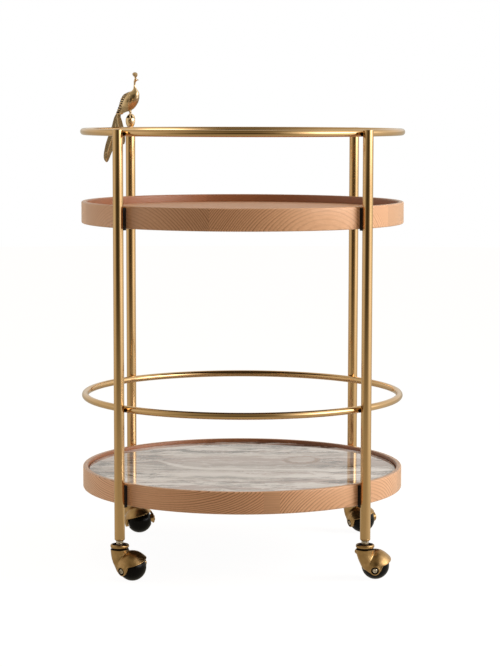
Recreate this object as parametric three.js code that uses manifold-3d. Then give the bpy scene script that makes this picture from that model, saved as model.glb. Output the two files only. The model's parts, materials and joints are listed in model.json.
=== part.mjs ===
// Round two-tier bar cart: two shallow wooden trays hung inside four tubular brass posts, a
// tubular rail above each tray, four hooded ball casters and a cast bird finial on one post.
// Millimetres, +Z up. The origin is on the ground, on the axis of the round trays.
import * as THREE from "three";
import { mergeVertices } from "three/addons/utils/BufferGeometryUtils.js";
import Module from "manifold-3d";

const wasm = await Module();
wasm.setup();

// Clearances
const seatGap = 0.3;
const runningGap = 0.5;
const overrun = 5;
const weldTolerance = 0.001;

// Trays
const trayRadius = 305;
const rimWall = 10;
const rimHeight = 41;
const rimRound = 2.5;
const floorDepth = 15;
const floorThickness = 9;
const ledgeWidth = 8;
const marbleThickness = 9;
const marbleChamfer = 1;
const trayPitch = 504;

// Posts and rails
const postDiameter = 19;
const postWall = 1.5;
const postEndRound = 1.5;
const postBelowTray = 63.5;
const railTube = 12.7;
const topRailRise = 130.5;
const guardRailRise = 135.5;

// Threaded plug in the lower end of each post
const plugFlangeHeight = 3.5;
const plugFlangeRound = 3;
const plugDepth = 22;

// Saddles between the posts and the trays
const saddleWeb = 1.05;
const saddleHalfWidth = 9;
const saddleDrop = 2.5;
const saddleTopInset = 3;

// Machine screws that hold the trays to the posts
const screwShankRadius = 2;
const screwHeadRadius = 3.9;
const screwHeadHeight = 2.4;
const screwReach = 4;

// Casters
const ballDiameter = 50.8;
const ballFlatRadius = 12;
const hoodClearance = 2;
const hoodWall = 2.8;
const casterTrail = 18.6;
const casterSide = 13.7;
const axleTilt = THREE.MathUtils.degToRad(9);
const axleRadius = 4;
const axleHeadRadius = 5.5;
const axleHeadHeight = 3.4;
const axleSocketRadius = 2.6;
const axleSocketDepth = 2;
const axleRecessMargin = 1.1;
const nearBossRadius = 9;
const farBossRadius = 5;
const farBossProud = 1.3;
const bossWeb = 3.4;
const visorRise = 11;
const neckRise = 2.4;
const neckRadius = 13.6;
const lugRadius = 4.4;
const lugReach = 19;
const lugDrop = 0.3;
const stemRadius = 4.75;
const stemNutAcrossFlats = 12;
const stemNutGap = 0.6;
const cupRadius = 17;
const cupLift = 2;
const cupRingHeight = 7;
const cupRingWidth = 5;
const cupSpigotRadius = 12.5;
const cupFloor = 2.5;
const sealThickness = 1.7;
const sealTaper = 0.8;
const nutLength = 8.1;

// Finial
const finialHeight = 24;
const finialFootRadius = 6;
const birdHeight = 84;
const birdWidth = 22;
const crestThickness = 1.6;
const trainThickness = 3;
const perchRadius = 5;
const perchThickness = 1.6;
const legRadius = 1.7;
const legSpacing = 5;
const birdTurn = THREE.MathUtils.degToRad(-20);

// Each caster's post and the way that it points at rest, as a plan angle
const corners = [
  { name: "front_left", side: -1, depth: -1, swivel: THREE.MathUtils.degToRad(-42) },
  { name: "front_right", side: 1, depth: -1, swivel: THREE.MathUtils.degToRad(-5) },
  { name: "back_left", side: -1, depth: 1, swivel: THREE.MathUtils.degToRad(-84) },
  { name: "back_right", side: 1, depth: 1, swivel: THREE.MathUtils.degToRad(-64) },
];

// Numbers of flats on round pieces
const trayFlats = 56;
const postFlats = 16;
const railFlats = 8;
const smallFlats = 12;
const screwFlats = 8;
const legFlats = 6;
const hexFlats = 6;
const cupFlats = 16;
const ballFlats = 16;
const hoodFlats = 16;
const hoodRows = 10;

// Heights above the ground, from the balls up
const ballRadius = ballDiameter / 2;
const hoodInnerRadius = ballRadius + hoodClearance;
const hoodRadius = hoodInnerRadius + hoodWall;
const neckTop = ballRadius + hoodRadius + neckRise;
const cupBottom = neckTop + seatGap;
const cupRingBottom = cupBottom + cupLift;
const cupTop = cupRingBottom + cupRingHeight;
const cupRecessFloor = cupRingBottom + cupFloor;
const sealBottom = cupRecessFloor + seatGap;
const sealTop = sealBottom + sealThickness;
const nutBottom = sealTop + seatGap;
const nutTop = nutBottom + nutLength;
const postFoot = nutTop + seatGap;
const postTubeBottom = postFoot + plugFlangeHeight;
const lowerTrayBottom = postFoot + postBelowTray;
const upperTrayBottom = lowerTrayBottom + trayPitch;
const lowerTrayTop = lowerTrayBottom + rimHeight;
const upperTrayTop = upperTrayBottom + rimHeight;
const guardRailHeight = lowerTrayTop + guardRailRise;
const topRailHeight = upperTrayTop + topRailRise;
const postTop = topRailHeight + railTube / 2;

// Radii about the cart's axis
const postRadius = postDiameter / 2;
const rimInnerRadius = trayRadius - rimWall;
const postCentre = trayRadius + saddleWeb + 2 * seatGap + postRadius;
const railRadius = postCentre - postRadius - seatGap - railTube / 2;
const postOffset = postCentre / Math.SQRT2;

// Tray section, above the tray's bottom edge
const floorTop = rimHeight - floorDepth;
const floorBottom = floorTop - floorThickness;
const screwHeight = screwHeadRadius + seatGap;
const ledgeBottom = screwHeight + screwHeadRadius + seatGap;

// Caster, in its own frame: the stem's axis is at the origin and the caster rolls towards +X
const ballCentre = new THREE.Vector3(casterTrail, casterSide, ballRadius);
const ballFlat = Math.sqrt(ballRadius ** 2 - ballFlatRadius ** 2);
const bossFace = ballFlat + runningGap;
const axleSeat = bossFace + bossWeb;
const axleBoreRadius = axleRadius + seatGap;
const stemBoreRadius = stemRadius + seatGap;
const stemBoreReach = Math.hypot(casterTrail, casterSide) - stemBoreRadius;
const neckBoreBottom = ballRadius + Math.sqrt(hoodRadius ** 2 - stemBoreReach ** 2);

const brass = { color: 0xb8925a, roughness: 0.32, metalness: 1 };
const bronze = { color: 0x8a6a3c, roughness: 0.38, metalness: 1 };
const wood = { color: 0xc69a76, roughness: 0.6, metalness: 0 };
const stone = { color: 0xcfc5bb, roughness: 0.15, metalness: 0 };
const blackSteel = { color: 0x15110e, roughness: 0.5, metalness: 0.6 };
const blackRubber = { color: 0x101010, roughness: 0.3, metalness: 0 };
const steel = { color: 0x9a958c, roughness: 0.3, metalness: 1 };

// A closed geometry as a solid that can be joined and cut
function solidOf(geometry) {
  const bare = geometry.clone();
  bare.deleteAttribute("normal");
  bare.deleteAttribute("uv");
  const merged = mergeVertices(bare, weldTolerance);
  const index = merged.index.array;
  const faces = [];
  for (let i = 0; i < index.length; i += 3) {
    const face = [index[i], index[i + 1], index[i + 2]];
    if (new Set(face).size === face.length) faces.push(...face);
  }
  const mesh = new wasm.Mesh({
    numProp: 3,
    vertProperties: merged.attributes.position.array,
    triVerts: new Uint32Array(faces),
  });
  return new wasm.Manifold(mesh);
}

function geometryOf(solid) {
  const mesh = solid.getMesh();
  return new THREE.BufferGeometry()
    .setAttribute("position", new THREE.BufferAttribute(mesh.vertProperties, 3))
    .setIndex(new THREE.BufferAttribute(mesh.triVerts, 1));
}

function piece(name, geometry, finish) {
  const mesh = new THREE.Mesh(geometry, new THREE.MeshStandardMaterial(finish));
  mesh.name = name;
  return mesh;
}

// Points of an arc in a profile, from one angle in degrees to another
function arc(x, y, radius, from, to, steps) {
  const points = [];
  for (let i = 0; i <= steps; i += 1) {
    const angle = THREE.MathUtils.degToRad(from + ((to - from) * i) / steps);
    points.push([x + radius * Math.cos(angle), y + radius * Math.sin(angle)]);
  }
  return points;
}

// A profile of [radius, height] points turned about the Z axis
function lathe(profile, flats) {
  const points = profile.map(([radius, height]) => new THREE.Vector2(radius, height));
  return new THREE.LatheGeometry(points, flats).rotateX(Math.PI / 2);
}

function latheRing(profile, flats) {
  return lathe([...profile, profile[0]], flats);
}

// A cylinder along Z that starts at a height
function rod(radius, bottom, length, flats) {
  return new THREE.CylinderGeometry(radius, radius, length, flats)
    .rotateX(Math.PI / 2)
    .translate(0, 0, bottom + length / 2);
}

// A hexagonal prism along Z that starts at a height
function hexPrism(acrossFlats, bottom, length) {
  const cornerRadius = acrossFlats / 2 / Math.cos(Math.PI / hexFlats);
  return rod(cornerRadius, bottom, length, hexFlats);
}

function shapeOf(points) {
  return new THREE.Shape(points.map(([x, y]) => new THREE.Vector2(x, y)));
}

// A shape in the XZ plane, extruded along Y about a middle plane
function uprightPlate(shape, thickness, middle) {
  return new THREE.ExtrudeGeometry(shape, { depth: thickness, bevelEnabled: false, curveSegments: 4 })
    .rotateX(Math.PI / 2)
    .translate(0, middle + thickness / 2, 0);
}

// A closed skin over horizontal ellipses, listed from the bottom up
function stack(sections, flats) {
  const positions = [];
  for (const { x, y, z, rx, ry } of sections) {
    for (let i = 0; i < flats; i += 1) {
      const angle = (2 * Math.PI * i) / flats;
      positions.push(x + rx * Math.cos(angle), y + ry * Math.sin(angle), z);
    }
  }
  const last = sections.length - 1;
  const bottomCentre = positions.length / 3;
  positions.push(sections[0].x, sections[0].y, sections[0].z);
  positions.push(sections[last].x, sections[last].y, sections[last].z);
  const index = [];
  for (let j = 0; j < last; j += 1) {
    for (let i = 0; i < flats; i += 1) {
      const next = (i + 1) % flats;
      const [a, b] = [j * flats + i, j * flats + next];
      const [c, d] = [a + flats, b + flats];
      index.push(a, b, d, a, d, c);
    }
  }
  for (let i = 0; i < flats; i += 1) {
    const next = (i + 1) % flats;
    index.push(bottomCentre, next, i);
    index.push(bottomCentre + 1, last * flats + i, last * flats + next);
  }
  return new THREE.BufferGeometry()
    .setAttribute("position", new THREE.Float32BufferAttribute(positions, 3))
    .setIndex(index);
}

// The plan angle of a corner, seen from the cart's axis
function cornerAngle({ side, depth }) {
  return Math.atan2(depth, side);
}

// The screw holes that run out along the four corners, as one cutter
function cornerHoles(radius, height) {
  const start = rimInnerRadius - ledgeWidth;
  const holes = corners.map((corner) => {
    const hole = new THREE.CylinderGeometry(radius, radius, postCentre - start, screwFlats)
      .rotateZ(Math.PI / 2)
      .translate((postCentre + start) / 2, 0, height)
      .rotateZ(cornerAngle(corner));
    return solidOf(hole);
  });
  return wasm.Manifold.union(holes);
}

const screwHoleRadius = screwShankRadius + seatGap;

// The bent wooden rim: rounded edges, a ledge inside for the floor and four screw holes
function trayRim() {
  const profile = [
    ...arc(trayRadius - rimRound, rimRound, rimRound, -90, 0, 1),
    ...arc(trayRadius - rimRound, rimHeight - rimRound, rimRound, 0, 90, 2),
    ...arc(rimInnerRadius + rimRound, rimHeight - rimRound, rimRound, 90, 180, 2),
    [rimInnerRadius, floorBottom],
    [rimInnerRadius - ledgeWidth, floorBottom],
    [rimInnerRadius - ledgeWidth, ledgeBottom],
    [rimInnerRadius, ledgeBottom],
    [rimInnerRadius, 0],
  ];
  const ring = solidOf(latheRing(profile, trayFlats));
  return geometryOf(ring.subtract(cornerHoles(screwHoleRadius, screwHeight)));
}

function trayFloor() {
  return rod(rimInnerRadius - seatGap, floorBottom, floorThickness, trayFlats);
}

function marbleSlab() {
  const radius = rimInnerRadius - seatGap;
  const top = floorTop + marbleThickness;
  const profile = [
    [0, floorTop],
    [radius, floorTop],
    [radius, top - marbleChamfer],
    [radius - marbleChamfer, top],
    [0, top],
  ];
  return lathe(profile, trayFlats);
}

function rail() {
  const section = arc(railRadius, 0, railTube / 2, 0, 360, railFlats).slice(0, railFlats);
  return latheRing(section, trayFlats);
}

// A tube closed at the top, drilled on the side that faces the cart's axis
function post(corner) {
  const bore = postRadius - postWall;
  const profile = [
    [0, postTop - postWall],
    [bore, postTop - postWall],
    [bore, postTubeBottom],
    [postRadius, postTubeBottom],
    ...arc(postRadius - postEndRound, postTop - postEndRound, postEndRound, 0, 90, 2),
    [0, postTop],
  ];
  const tube = solidOf(lathe(profile, postFlats));
  const holes = [lowerTrayBottom, upperTrayBottom].map((bottom) => {
    const hole = new THREE.CylinderGeometry(screwHoleRadius, screwHoleRadius, postRadius, screwFlats)
      .rotateZ(Math.PI / 2)
      .translate(-postRadius, 0, bottom + screwHeight)
      .rotateZ(cornerAngle(corner));
    return solidOf(hole);
  });
  return geometryOf(tube.subtract(wasm.Manifold.union(holes)));
}

function postPlug() {
  const plugRadius = postRadius - postWall - seatGap;
  const profile = [
    [stemBoreRadius, postFoot],
    ...arc(postRadius - plugFlangeRound, postFoot + plugFlangeRound, plugFlangeRound, -90, 0, 2),
    [postRadius, postTubeBottom],
    [plugRadius, postTubeBottom],
    [plugRadius, postTubeBottom + plugDepth],
    [stemBoreRadius, postTubeBottom + plugDepth],
  ];
  return latheRing(profile, smallFlats);
}

// A block between the rim and a post, hollowed to fit round both
function saddle() {
  const innerRadius = trayRadius + seatGap;
  const outerRadius = postRadius + seatGap;
  const innerAngle = THREE.MathUtils.radToDeg(Math.asin(saddleHalfWidth / innerRadius));
  const outerAngle = THREE.MathUtils.radToDeg(Math.asin(saddleHalfWidth / outerRadius));
  const outline = [
    ...arc(0, 0, innerRadius, innerAngle, -innerAngle, 2),
    ...arc(postCentre, 0, outerRadius, 180 + outerAngle, 180 - outerAngle, 6),
  ];
  const height = rimHeight + saddleDrop - saddleTopInset;
  const block = new THREE.ExtrudeGeometry(shapeOf(outline), { depth: height, bevelEnabled: false });
  block.translate(0, 0, -saddleDrop);
  const hole = new THREE.CylinderGeometry(screwHoleRadius, screwHoleRadius, 2 * overrun, screwFlats)
    .rotateZ(Math.PI / 2)
    .translate(trayRadius, 0, screwHeight);
  return geometryOf(solidOf(block).subtract(solidOf(hole)));
}

// A pan-head machine screw along +X, its head inside the rim and its end inside the post
function trayScrew() {
  const seat = rimInnerRadius - 2 * seatGap;
  const end = postCentre - postRadius + postWall + screwReach;
  const profile = [
    [0, seat - screwHeadHeight],
    [screwHeadRadius / 2, seat - screwHeadHeight],
    [screwHeadRadius, seat - screwHeadHeight / 2],
    [screwHeadRadius, seat],
    [screwShankRadius, seat],
    [screwShankRadius, end],
    [0, end],
  ];
  return lathe(profile, screwFlats).rotateY(Math.PI / 2).translate(0, 0, screwHeight);
}

// The threaded stem with its two lock nuts
function casterStem() {
  const bottom = neckBoreBottom + seatGap;
  const top = postTubeBottom + plugDepth;
  const shank = solidOf(rod(stemRadius, bottom, top - bottom, smallFlats));
  const nutHeight = (nutLength - stemNutGap) / 2;
  const nuts = [nutBottom, nutBottom + nutHeight + stemNutGap].map((height) =>
    solidOf(hexPrism(stemNutAcrossFlats, height, nutHeight)),
  );
  return geometryOf(wasm.Manifold.union([shank, ...nuts]));
}

// The bearing cup: a rolled ring with a recess on top and a spigot that rests on the neck
function casterCup() {
  const round = cupRingWidth / 2;
  const profile = [
    [stemBoreRadius, cupBottom],
    [cupSpigotRadius, cupBottom],
    [cupSpigotRadius, cupRingBottom],
    ...arc(cupRadius - round, cupRingBottom + round, round, -90, 0, 1),
    ...arc(cupRadius - round, cupTop - round, round, 0, 180, 3),
    [cupRadius - cupRingWidth, cupRecessFloor],
    [stemBoreRadius, cupRecessFloor],
  ];
  return latheRing(profile, cupFlats);
}

function casterSeal() {
  const radius = cupRadius - cupRingWidth - seatGap;
  const profile = [
    [stemBoreRadius, sealBottom],
    [radius, sealBottom],
    [radius - sealTaper, sealTop],
    [stemBoreRadius, sealTop],
  ];
  return latheRing(profile, cupFlats);
}

// Side view of the skirt round the axle on the stem's side, from the ball's centre
const skirtShares = [
  [0.5, 0.5],
  [-0.93, 0.5],
  [-0.8, 0.08],
  [-0.69, -0.03],
  [-0.42, -0.24],
  [-0.2, -0.33],
  [0.02, -0.335],
  [0.2, -0.31],
  [0.35, -0.2],
  [0.41, -0.06],
  [0.49, 0.18],
];

// Side view of the lobe round the axle's far end, from the ball's centre
const lobeShares = [
  [0.34, 0.6],
  [-0.34, 0.6],
  [-0.3, 0.12],
  [-0.25, -0.06],
  [-0.13, -0.18],
  [0, -0.21],
  [0.13, -0.18],
  [0.25, -0.06],
  [0.3, 0.12],
];

// The neck from the bottom up: height between ball centre and neck top, offsets towards the
// ball and the axle's head, and radius, as shares of the neck's height, trail, trail and radius
const neckShares = [
  [-0.14, 0.355, -0.13, 0.64],
  [0.05, 0.226, -0.13, 0.79],
  [0.265, 0.16, -0.13, 0.96],
  [0.48, 0.07, -0.11, 1.05],
  [0.69, 0.01, -0.055, 1.13],
  [0.88, 0, 0, 1.21],
  [1, 0, 0, 1.24],
];

// How much the visor's edge climbs towards the front and away from the bolt's head
const visorFrontSlopeShare = 0.1;
const visorSideSlopeShare = 0.34;

// Where the skirt and the lobe start beside the ball's middle, and the sizes of the blocks that
// the hood is cut with, as shares of the hood's radius
const sideStartShare = 0.25;
const sideDepthShare = 1.2;
const visorBlockShare = 4;

// Half section of the domed head of the axle's bolt, as shares of its radius and height
const axleHeadShares = [
  [1, 0],
  [1, 0.5],
  [0.85, 0.83],
  [0.6, 1],
];

// Places geometry made along Z on the tilted axle, from the ball's centre to the bolt head
function onAxle(geometry) {
  return geometry
    .rotateX(Math.PI / 2 + axleTilt)
    .translate(ballCentre.x, ballCentre.y, ballCentre.z);
}

function sphereAt(centre, radius) {
  const sphere = new THREE.SphereGeometry(radius, hoodFlats, hoodRows);
  return solidOf(sphere.rotateX(Math.PI / 2).translate(centre.x, centre.y, centre.z));
}

// A side-view outline of shares of the hood's radius as a prism on one side of the ball
function sidePrism(shares, side) {
  const outline = shares.map(([x, z]) => [x * hoodRadius, z * hoodRadius]);
  const depth = sideDepthShare * hoodRadius;
  const middle = side * (sideStartShare * hoodRadius + depth / 2);
  const prism = uprightPlate(shapeOf(outline), depth, middle);
  return solidOf(prism.translate(ballCentre.x, ballCentre.y, ballCentre.z));
}

// All that lies above the visor's sloping edge
function aboveVisor() {
  const size = visorBlockShare * hoodRadius;
  const block = new THREE.BoxGeometry(size, size, size).translate(0, 0, size / 2);
  const slope = new THREE.Matrix4().set(
    1, 0, 0, 0,
    0, 1, 0, 0,
    visorFrontSlopeShare, visorSideSlopeShare, 1, 0,
    0, 0, 0, 1,
  );
  block.applyMatrix4(slope).translate(ballCentre.x, ballCentre.y, ballCentre.z + visorRise);
  return solidOf(block);
}

function neck() {
  const height = neckTop - ballCentre.z;
  const sections = neckShares.map(([rise, forward, across, radius]) => ({
    x: forward * casterTrail,
    y: across * casterTrail,
    z: ballCentre.z + rise * height,
    rx: radius * neckRadius,
    ry: radius * neckRadius,
  }));
  const lugStart = neckRadius / 2;
  const lug = new THREE.CylinderGeometry(lugRadius, lugRadius, lugReach - lugStart, screwFlats)
    .rotateZ(Math.PI / 2)
    .translate(-(lugReach + lugStart) / 2, 0, neckTop - lugRadius - lugDrop);
  return solidOf(stack(sections, hoodFlats)).add(solidOf(lug));
}

// The hood: a spherical shell with a visor, a skirt and a lobe round the axle's ends, the neck
// that carries it and the bosses that hold the axle
function casterHood() {
  const ball = sphereAt(ballCentre, hoodInnerRadius);
  const dome = sphereAt(ballCentre, hoodRadius);
  const kept = wasm.Manifold.union([
    dome.intersect(aboveVisor()),
    dome.intersect(sidePrism(skirtShares, -1)),
    dome.intersect(sidePrism(lobeShares, 1)),
    neck(),
  ]);
  const bossLength = hoodRadius + farBossProud - bossFace;
  const nearBoss = solidOf(onAxle(rod(nearBossRadius, bossFace, bossLength, smallFlats)));
  const farBoss = solidOf(onAxle(rod(farBossRadius, -bossFace - bossLength, bossLength, smallFlats)));
  const recess = solidOf(onAxle(rod(axleHeadRadius + axleRecessMargin, axleSeat, hoodRadius, smallFlats)));
  const axleBore = solidOf(onAxle(rod(axleBoreRadius, -hoodRadius, 2 * hoodRadius, smallFlats)));
  const stemBoreDepth = neckTop - neckBoreBottom + overrun;
  const stemBore = solidOf(rod(stemBoreRadius, neckBoreBottom, stemBoreDepth, smallFlats));
  const body = kept.subtract(ball).add(nearBoss.intersect(dome)).add(farBoss);
  return geometryOf(body.subtract(recess).subtract(axleBore).subtract(stemBore));
}

// The axle bolt along Z: a domed head with a hexagonal socket on a plain shank
function casterAxle() {
  const seat = axleSeat + seatGap;
  const headTop = seat + axleHeadHeight;
  const profile = [
    [0, -hoodRadius + seatGap],
    [axleRadius, -hoodRadius + seatGap],
    [axleRadius, seat],
    ...axleHeadShares.map(([radius, height]) => [radius * axleHeadRadius, seat + height * axleHeadHeight]),
    [0, headTop],
  ];
  const socket = hexPrism(2 * axleSocketRadius, headTop - axleSocketDepth, axleSocketDepth + overrun);
  return geometryOf(solidOf(lathe(profile, smallFlats)).subtract(solidOf(socket)));
}

// The ball: a sphere with two flats and a bore along Z
function casterBall() {
  const edge = THREE.MathUtils.radToDeg(Math.asin(ballFlat / ballRadius));
  const profile = [
    [axleBoreRadius, -ballFlat],
    ...arc(0, 0, ballRadius, -edge, edge, 8),
    [axleBoreRadius, ballFlat],
  ];
  return latheRing(profile, ballFlats);
}

function caster(corner) {
  const group = new THREE.Group();
  group.position.set(corner.side * postOffset, corner.depth * postOffset, 0);
  group.rotation.z = corner.swivel;
  group.add(piece(`caster_stem_${corner.name}`, casterStem(), steel));
  group.add(piece(`caster_cup_${corner.name}`, casterCup(), bronze));
  group.add(piece(`caster_seal_${corner.name}`, casterSeal(), blackRubber));
  group.add(piece(`caster_hood_${corner.name}`, casterHood(), bronze));
  const axle = new THREE.Group();
  axle.position.copy(ballCentre);
  axle.rotation.x = Math.PI / 2 + axleTilt;
  axle.add(piece(`caster_axle_${corner.name}`, casterAxle(), steel));
  axle.add(piece(`caster_ball_${corner.name}`, casterBall(), blackRubber));
  group.add(axle);
  return group;
}

// The egg-shaped ball under the bird, flat where it sits on the post
function finialBall() {
  const half = finialHeight / 2;
  const middle = postTop + seatGap + half;
  const widest = postRadius;
  const foot = THREE.MathUtils.radToDeg(Math.acos(finialFootRadius / widest));
  const footRise = Math.sin(THREE.MathUtils.degToRad(foot));
  const points = arc(0, 0, 1, -foot, 90, 6).map(([radius, rise]) => {
    const height = rise < 0 ? rise / footRise : rise;
    return [radius * widest, middle + height * half];
  });
  return lathe([[0, middle - half], ...points.slice(0, -1), [0, middle + half]], postFlats);
}

// The bird from the tail's root up: height, back and breast as shares of the bird's height,
// and half width as a share of its width
const birdShares = [
  [0, -0.37, -0.235, 0.14],
  [0.05, -0.35, -0.16, 0.2],
  [0.09, -0.33, 0, 0.28],
  [0.14, -0.31, 0.08, 0.36],
  [0.21, -0.28, 0.14, 0.45],
  [0.29, -0.255, 0.19, 0.5],
  [0.38, -0.225, 0.22, 0.5],
  [0.47, -0.165, 0.225, 0.46],
  [0.52, -0.08, 0.218, 0.36],
  [0.56, 0.04, 0.2, 0.23],
  [0.6, 0.075, 0.17, 0.15],
  [0.66, 0.085, 0.142, 0.11],
  [0.76, 0.09, 0.145, 0.11],
  [0.82, 0.095, 0.195, 0.16],
  [0.86, 0.11, 0.18, 0.12],
];

// The crest's fan in side view, as shares of the bird's height
const crestShares = [
  [0.115, 0.84],
  [0.145, 0.84],
  [0.157, 0.88],
  [0.187, 0.912],
  [0.195, 0.948],
  [0.182, 0.98],
  [0.155, 0.997],
  [0.12, 1],
  [0.085, 0.997],
  [0.06, 0.978],
  [0.052, 0.946],
  [0.07, 0.915],
  [0.105, 0.885],
];

// The long and the short train feathers in side view, as shares of the bird's height
const longTrainShares = [
  [-0.24, 0.03],
  [-0.36, 0.03],
  [-0.41, -0.05],
  [-0.445, -0.155],
  [-0.475, -0.275],
  [-0.53, -0.4],
  [-0.585, -0.544],
  [-0.65, -0.725],
  [-0.71, -1.02],
  [-0.64, -1.14],
  [-0.58, -1.12],
  [-0.52, -0.97],
  [-0.44, -0.8],
  [-0.36, -0.6],
  [-0.3, -0.45],
  [-0.265, -0.275],
  [-0.255, -0.1],
];
const shortTrainShares = [
  [-0.25, -0.04],
  [-0.36, -0.1],
  [-0.36, -0.3],
  [-0.31, -0.52],
  [-0.26, -0.64],
  [-0.21, -0.7],
  [-0.15, -0.7],
  [-0.12, -0.62],
  [-0.125, -0.45],
  [-0.17, -0.25],
  [-0.22, -0.08],
];

// How high the legs reach into the belly and how far the beak sticks out, as shares of the
// bird's height
const legLengthShare = 0.16;
const beakLengthShare = 0.05;

function birdPlate(shares, thickness, middle) {
  const outline = shares.map(([x, z]) => [x * birdHeight, z * birdHeight]);
  return uprightPlate(shapeOf(outline), thickness, middle);
}

// Body, neck, head and beak with the two legs and the perch plate that they stand on
function birdBody() {
  const sections = birdShares.map(([height, back, breast, halfWidth]) => ({
    x: ((back + breast) / 2) * birdHeight,
    y: 0,
    z: height * birdHeight,
    rx: ((breast - back) / 2) * birdHeight,
    ry: halfWidth * birdWidth,
  }));
  const head = sections[sections.length - 2];
  const beakLength = beakLengthShare * birdHeight;
  const beak = new THREE.ConeGeometry(head.ry / 2, 2 * beakLength, legFlats)
    .rotateZ(-Math.PI / 2)
    .translate(head.x + head.rx, 0, head.z);
  const perch = rod(perchRadius, seatGap, perchThickness, smallFlats);
  const legs = [-1, 1].map((side) => {
    const leg = rod(legRadius, seatGap, legLengthShare * birdHeight, legFlats);
    return solidOf(leg.translate(0, (side * legSpacing) / 2, 0));
  });
  const parts = [solidOf(stack(sections, smallFlats)), solidOf(beak), solidOf(perch), ...legs];
  return geometryOf(wasm.Manifold.union(parts));
}

// The body is cut back where the crest and the train are brazed to it
function birdPieces() {
  const group = new THREE.Group();
  group.position.set(-postOffset, postOffset, postTop + seatGap + finialHeight);
  group.rotation.z = birdTurn;
  const body = solidOf(birdBody());
  const crest = solidOf(birdPlate(crestShares, crestThickness, 0));
  const longTrain = solidOf(birdPlate(longTrainShares, trainThickness, 0));
  const shortTrain = solidOf(birdPlate(shortTrainShares, trainThickness, -trainThickness - seatGap));
  const bodyRoom = (shares, thickness) => solidOf(birdPlate(shares, thickness + 2 * seatGap, 0));
  const trimmedBody = body
    .subtract(bodyRoom(crestShares, crestThickness))
    .subtract(bodyRoom(longTrainShares, trainThickness));
  group.add(piece("peacock_body", geometryOf(trimmedBody), brass));
  group.add(piece("peacock_crest", geometryOf(crest), brass));
  group.add(piece("peacock_train_long", geometryOf(longTrain), brass));
  group.add(piece("peacock_train_short", geometryOf(shortTrain), brass));
  return group;
}

function tray(name, bottom) {
  const group = new THREE.Group();
  group.position.z = bottom;
  group.add(piece(`${name}_tray_rim`, trayRim(), wood));
  group.add(piece(`${name}_tray_floor`, trayFloor(), wood));
  for (const corner of corners) {
    const mount = new THREE.Group();
    mount.rotation.z = cornerAngle(corner);
    mount.add(piece(`${name}_saddle_${corner.name}`, saddle(), blackSteel));
    mount.add(piece(`${name}_screw_${corner.name}`, trayScrew(), steel));
    group.add(mount);
  }
  return group;
}

const cart = new THREE.Group();
cart.add(tray("lower", lowerTrayBottom));
cart.add(tray("upper", upperTrayBottom));

const slab = piece("marble_slab", marbleSlab(), stone);
slab.position.z = lowerTrayBottom;
cart.add(slab);

const guardRail = piece("guard_rail", rail(), brass);
guardRail.position.z = guardRailHeight;
cart.add(guardRail);

const topRail = piece("top_rail", rail(), brass);
topRail.position.z = topRailHeight;
cart.add(topRail);

for (const corner of corners) {
  const tube = piece(`post_${corner.name}`, post(corner), brass);
  tube.position.set(corner.side * postOffset, corner.depth * postOffset, 0);
  cart.add(tube);
  const plug = piece(`post_plug_${corner.name}`, postPlug(), brass);
  plug.position.set(corner.side * postOffset, corner.depth * postOffset, 0);
  cart.add(plug);
  cart.add(caster(corner));
}

const ball = piece("finial_ball", finialBall(), brass);
ball.position.set(-postOffset, postOffset, 0);
cart.add(ball);
cart.add(birdPieces());

export default cart;
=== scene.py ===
"""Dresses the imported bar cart: finely shaped pieces over its nodes, procedural materials, a white
studio and a camera at the photograph's angle. Lengths are in millimetres until a mesh is made."""
import json
from math import acos, asin, atan2, cos, degrees, e, hypot, pi, radians, sin, sqrt, tan

import bpy
import numpy as np
from mathutils import Matrix, Vector


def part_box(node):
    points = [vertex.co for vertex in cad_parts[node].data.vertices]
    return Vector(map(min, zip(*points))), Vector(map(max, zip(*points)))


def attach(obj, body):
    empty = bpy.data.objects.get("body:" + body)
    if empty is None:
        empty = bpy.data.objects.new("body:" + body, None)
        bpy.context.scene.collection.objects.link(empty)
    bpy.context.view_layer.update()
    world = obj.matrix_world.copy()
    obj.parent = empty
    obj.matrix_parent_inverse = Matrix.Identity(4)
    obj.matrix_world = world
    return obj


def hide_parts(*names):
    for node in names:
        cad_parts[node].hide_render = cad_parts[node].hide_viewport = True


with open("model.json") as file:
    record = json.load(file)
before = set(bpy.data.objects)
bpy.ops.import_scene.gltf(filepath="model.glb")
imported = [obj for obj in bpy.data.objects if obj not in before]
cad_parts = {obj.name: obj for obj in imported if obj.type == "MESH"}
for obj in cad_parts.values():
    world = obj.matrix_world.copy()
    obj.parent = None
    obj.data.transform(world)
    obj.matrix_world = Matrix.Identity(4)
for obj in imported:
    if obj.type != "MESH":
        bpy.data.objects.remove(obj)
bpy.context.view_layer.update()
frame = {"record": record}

MM = 0.001

CORNERS = ("front_left", "front_right", "back_left", "back_right")
SEAT_GAP = 0.3

# Grids on which the castings' surfaces are found
COARSE_STEP = 0.6
FINE_STEP = 0.36
FINEST_STEP = 0.22

# Trays
RIM_WALL = 10
RIM_ROUND = 2.5
LEDGE_WIDTH = 8
LEDGE_BOTTOM = 8.4
FLOOR_EDGE_ROUND = 0.8
MARBLE_EDGE_ROUND = 1.2
MARBLE_GAP = 1.2

# Posts and rails
POST_WALL = 1.5
POST_END_ROUND = 1.6
POST_SEAM_ROUND = 0.35
BRAZE_BLEND = 5
BRAZE_REACH = 11
BRAZE_TOP = 1.5

# Saddles and tray screws
SADDLE_HALF_WIDTH = 9
SADDLE_DROP = 2.5
SADDLE_TOP_INSET = 3
SADDLE_EDGE = 0.9
SCREW_HEAD_RADIUS = 3.9
SCREW_HEAD_HEIGHT = 2.4
SCREW_SHANK_RADIUS = 2
SCREW_REACH = 4

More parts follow.
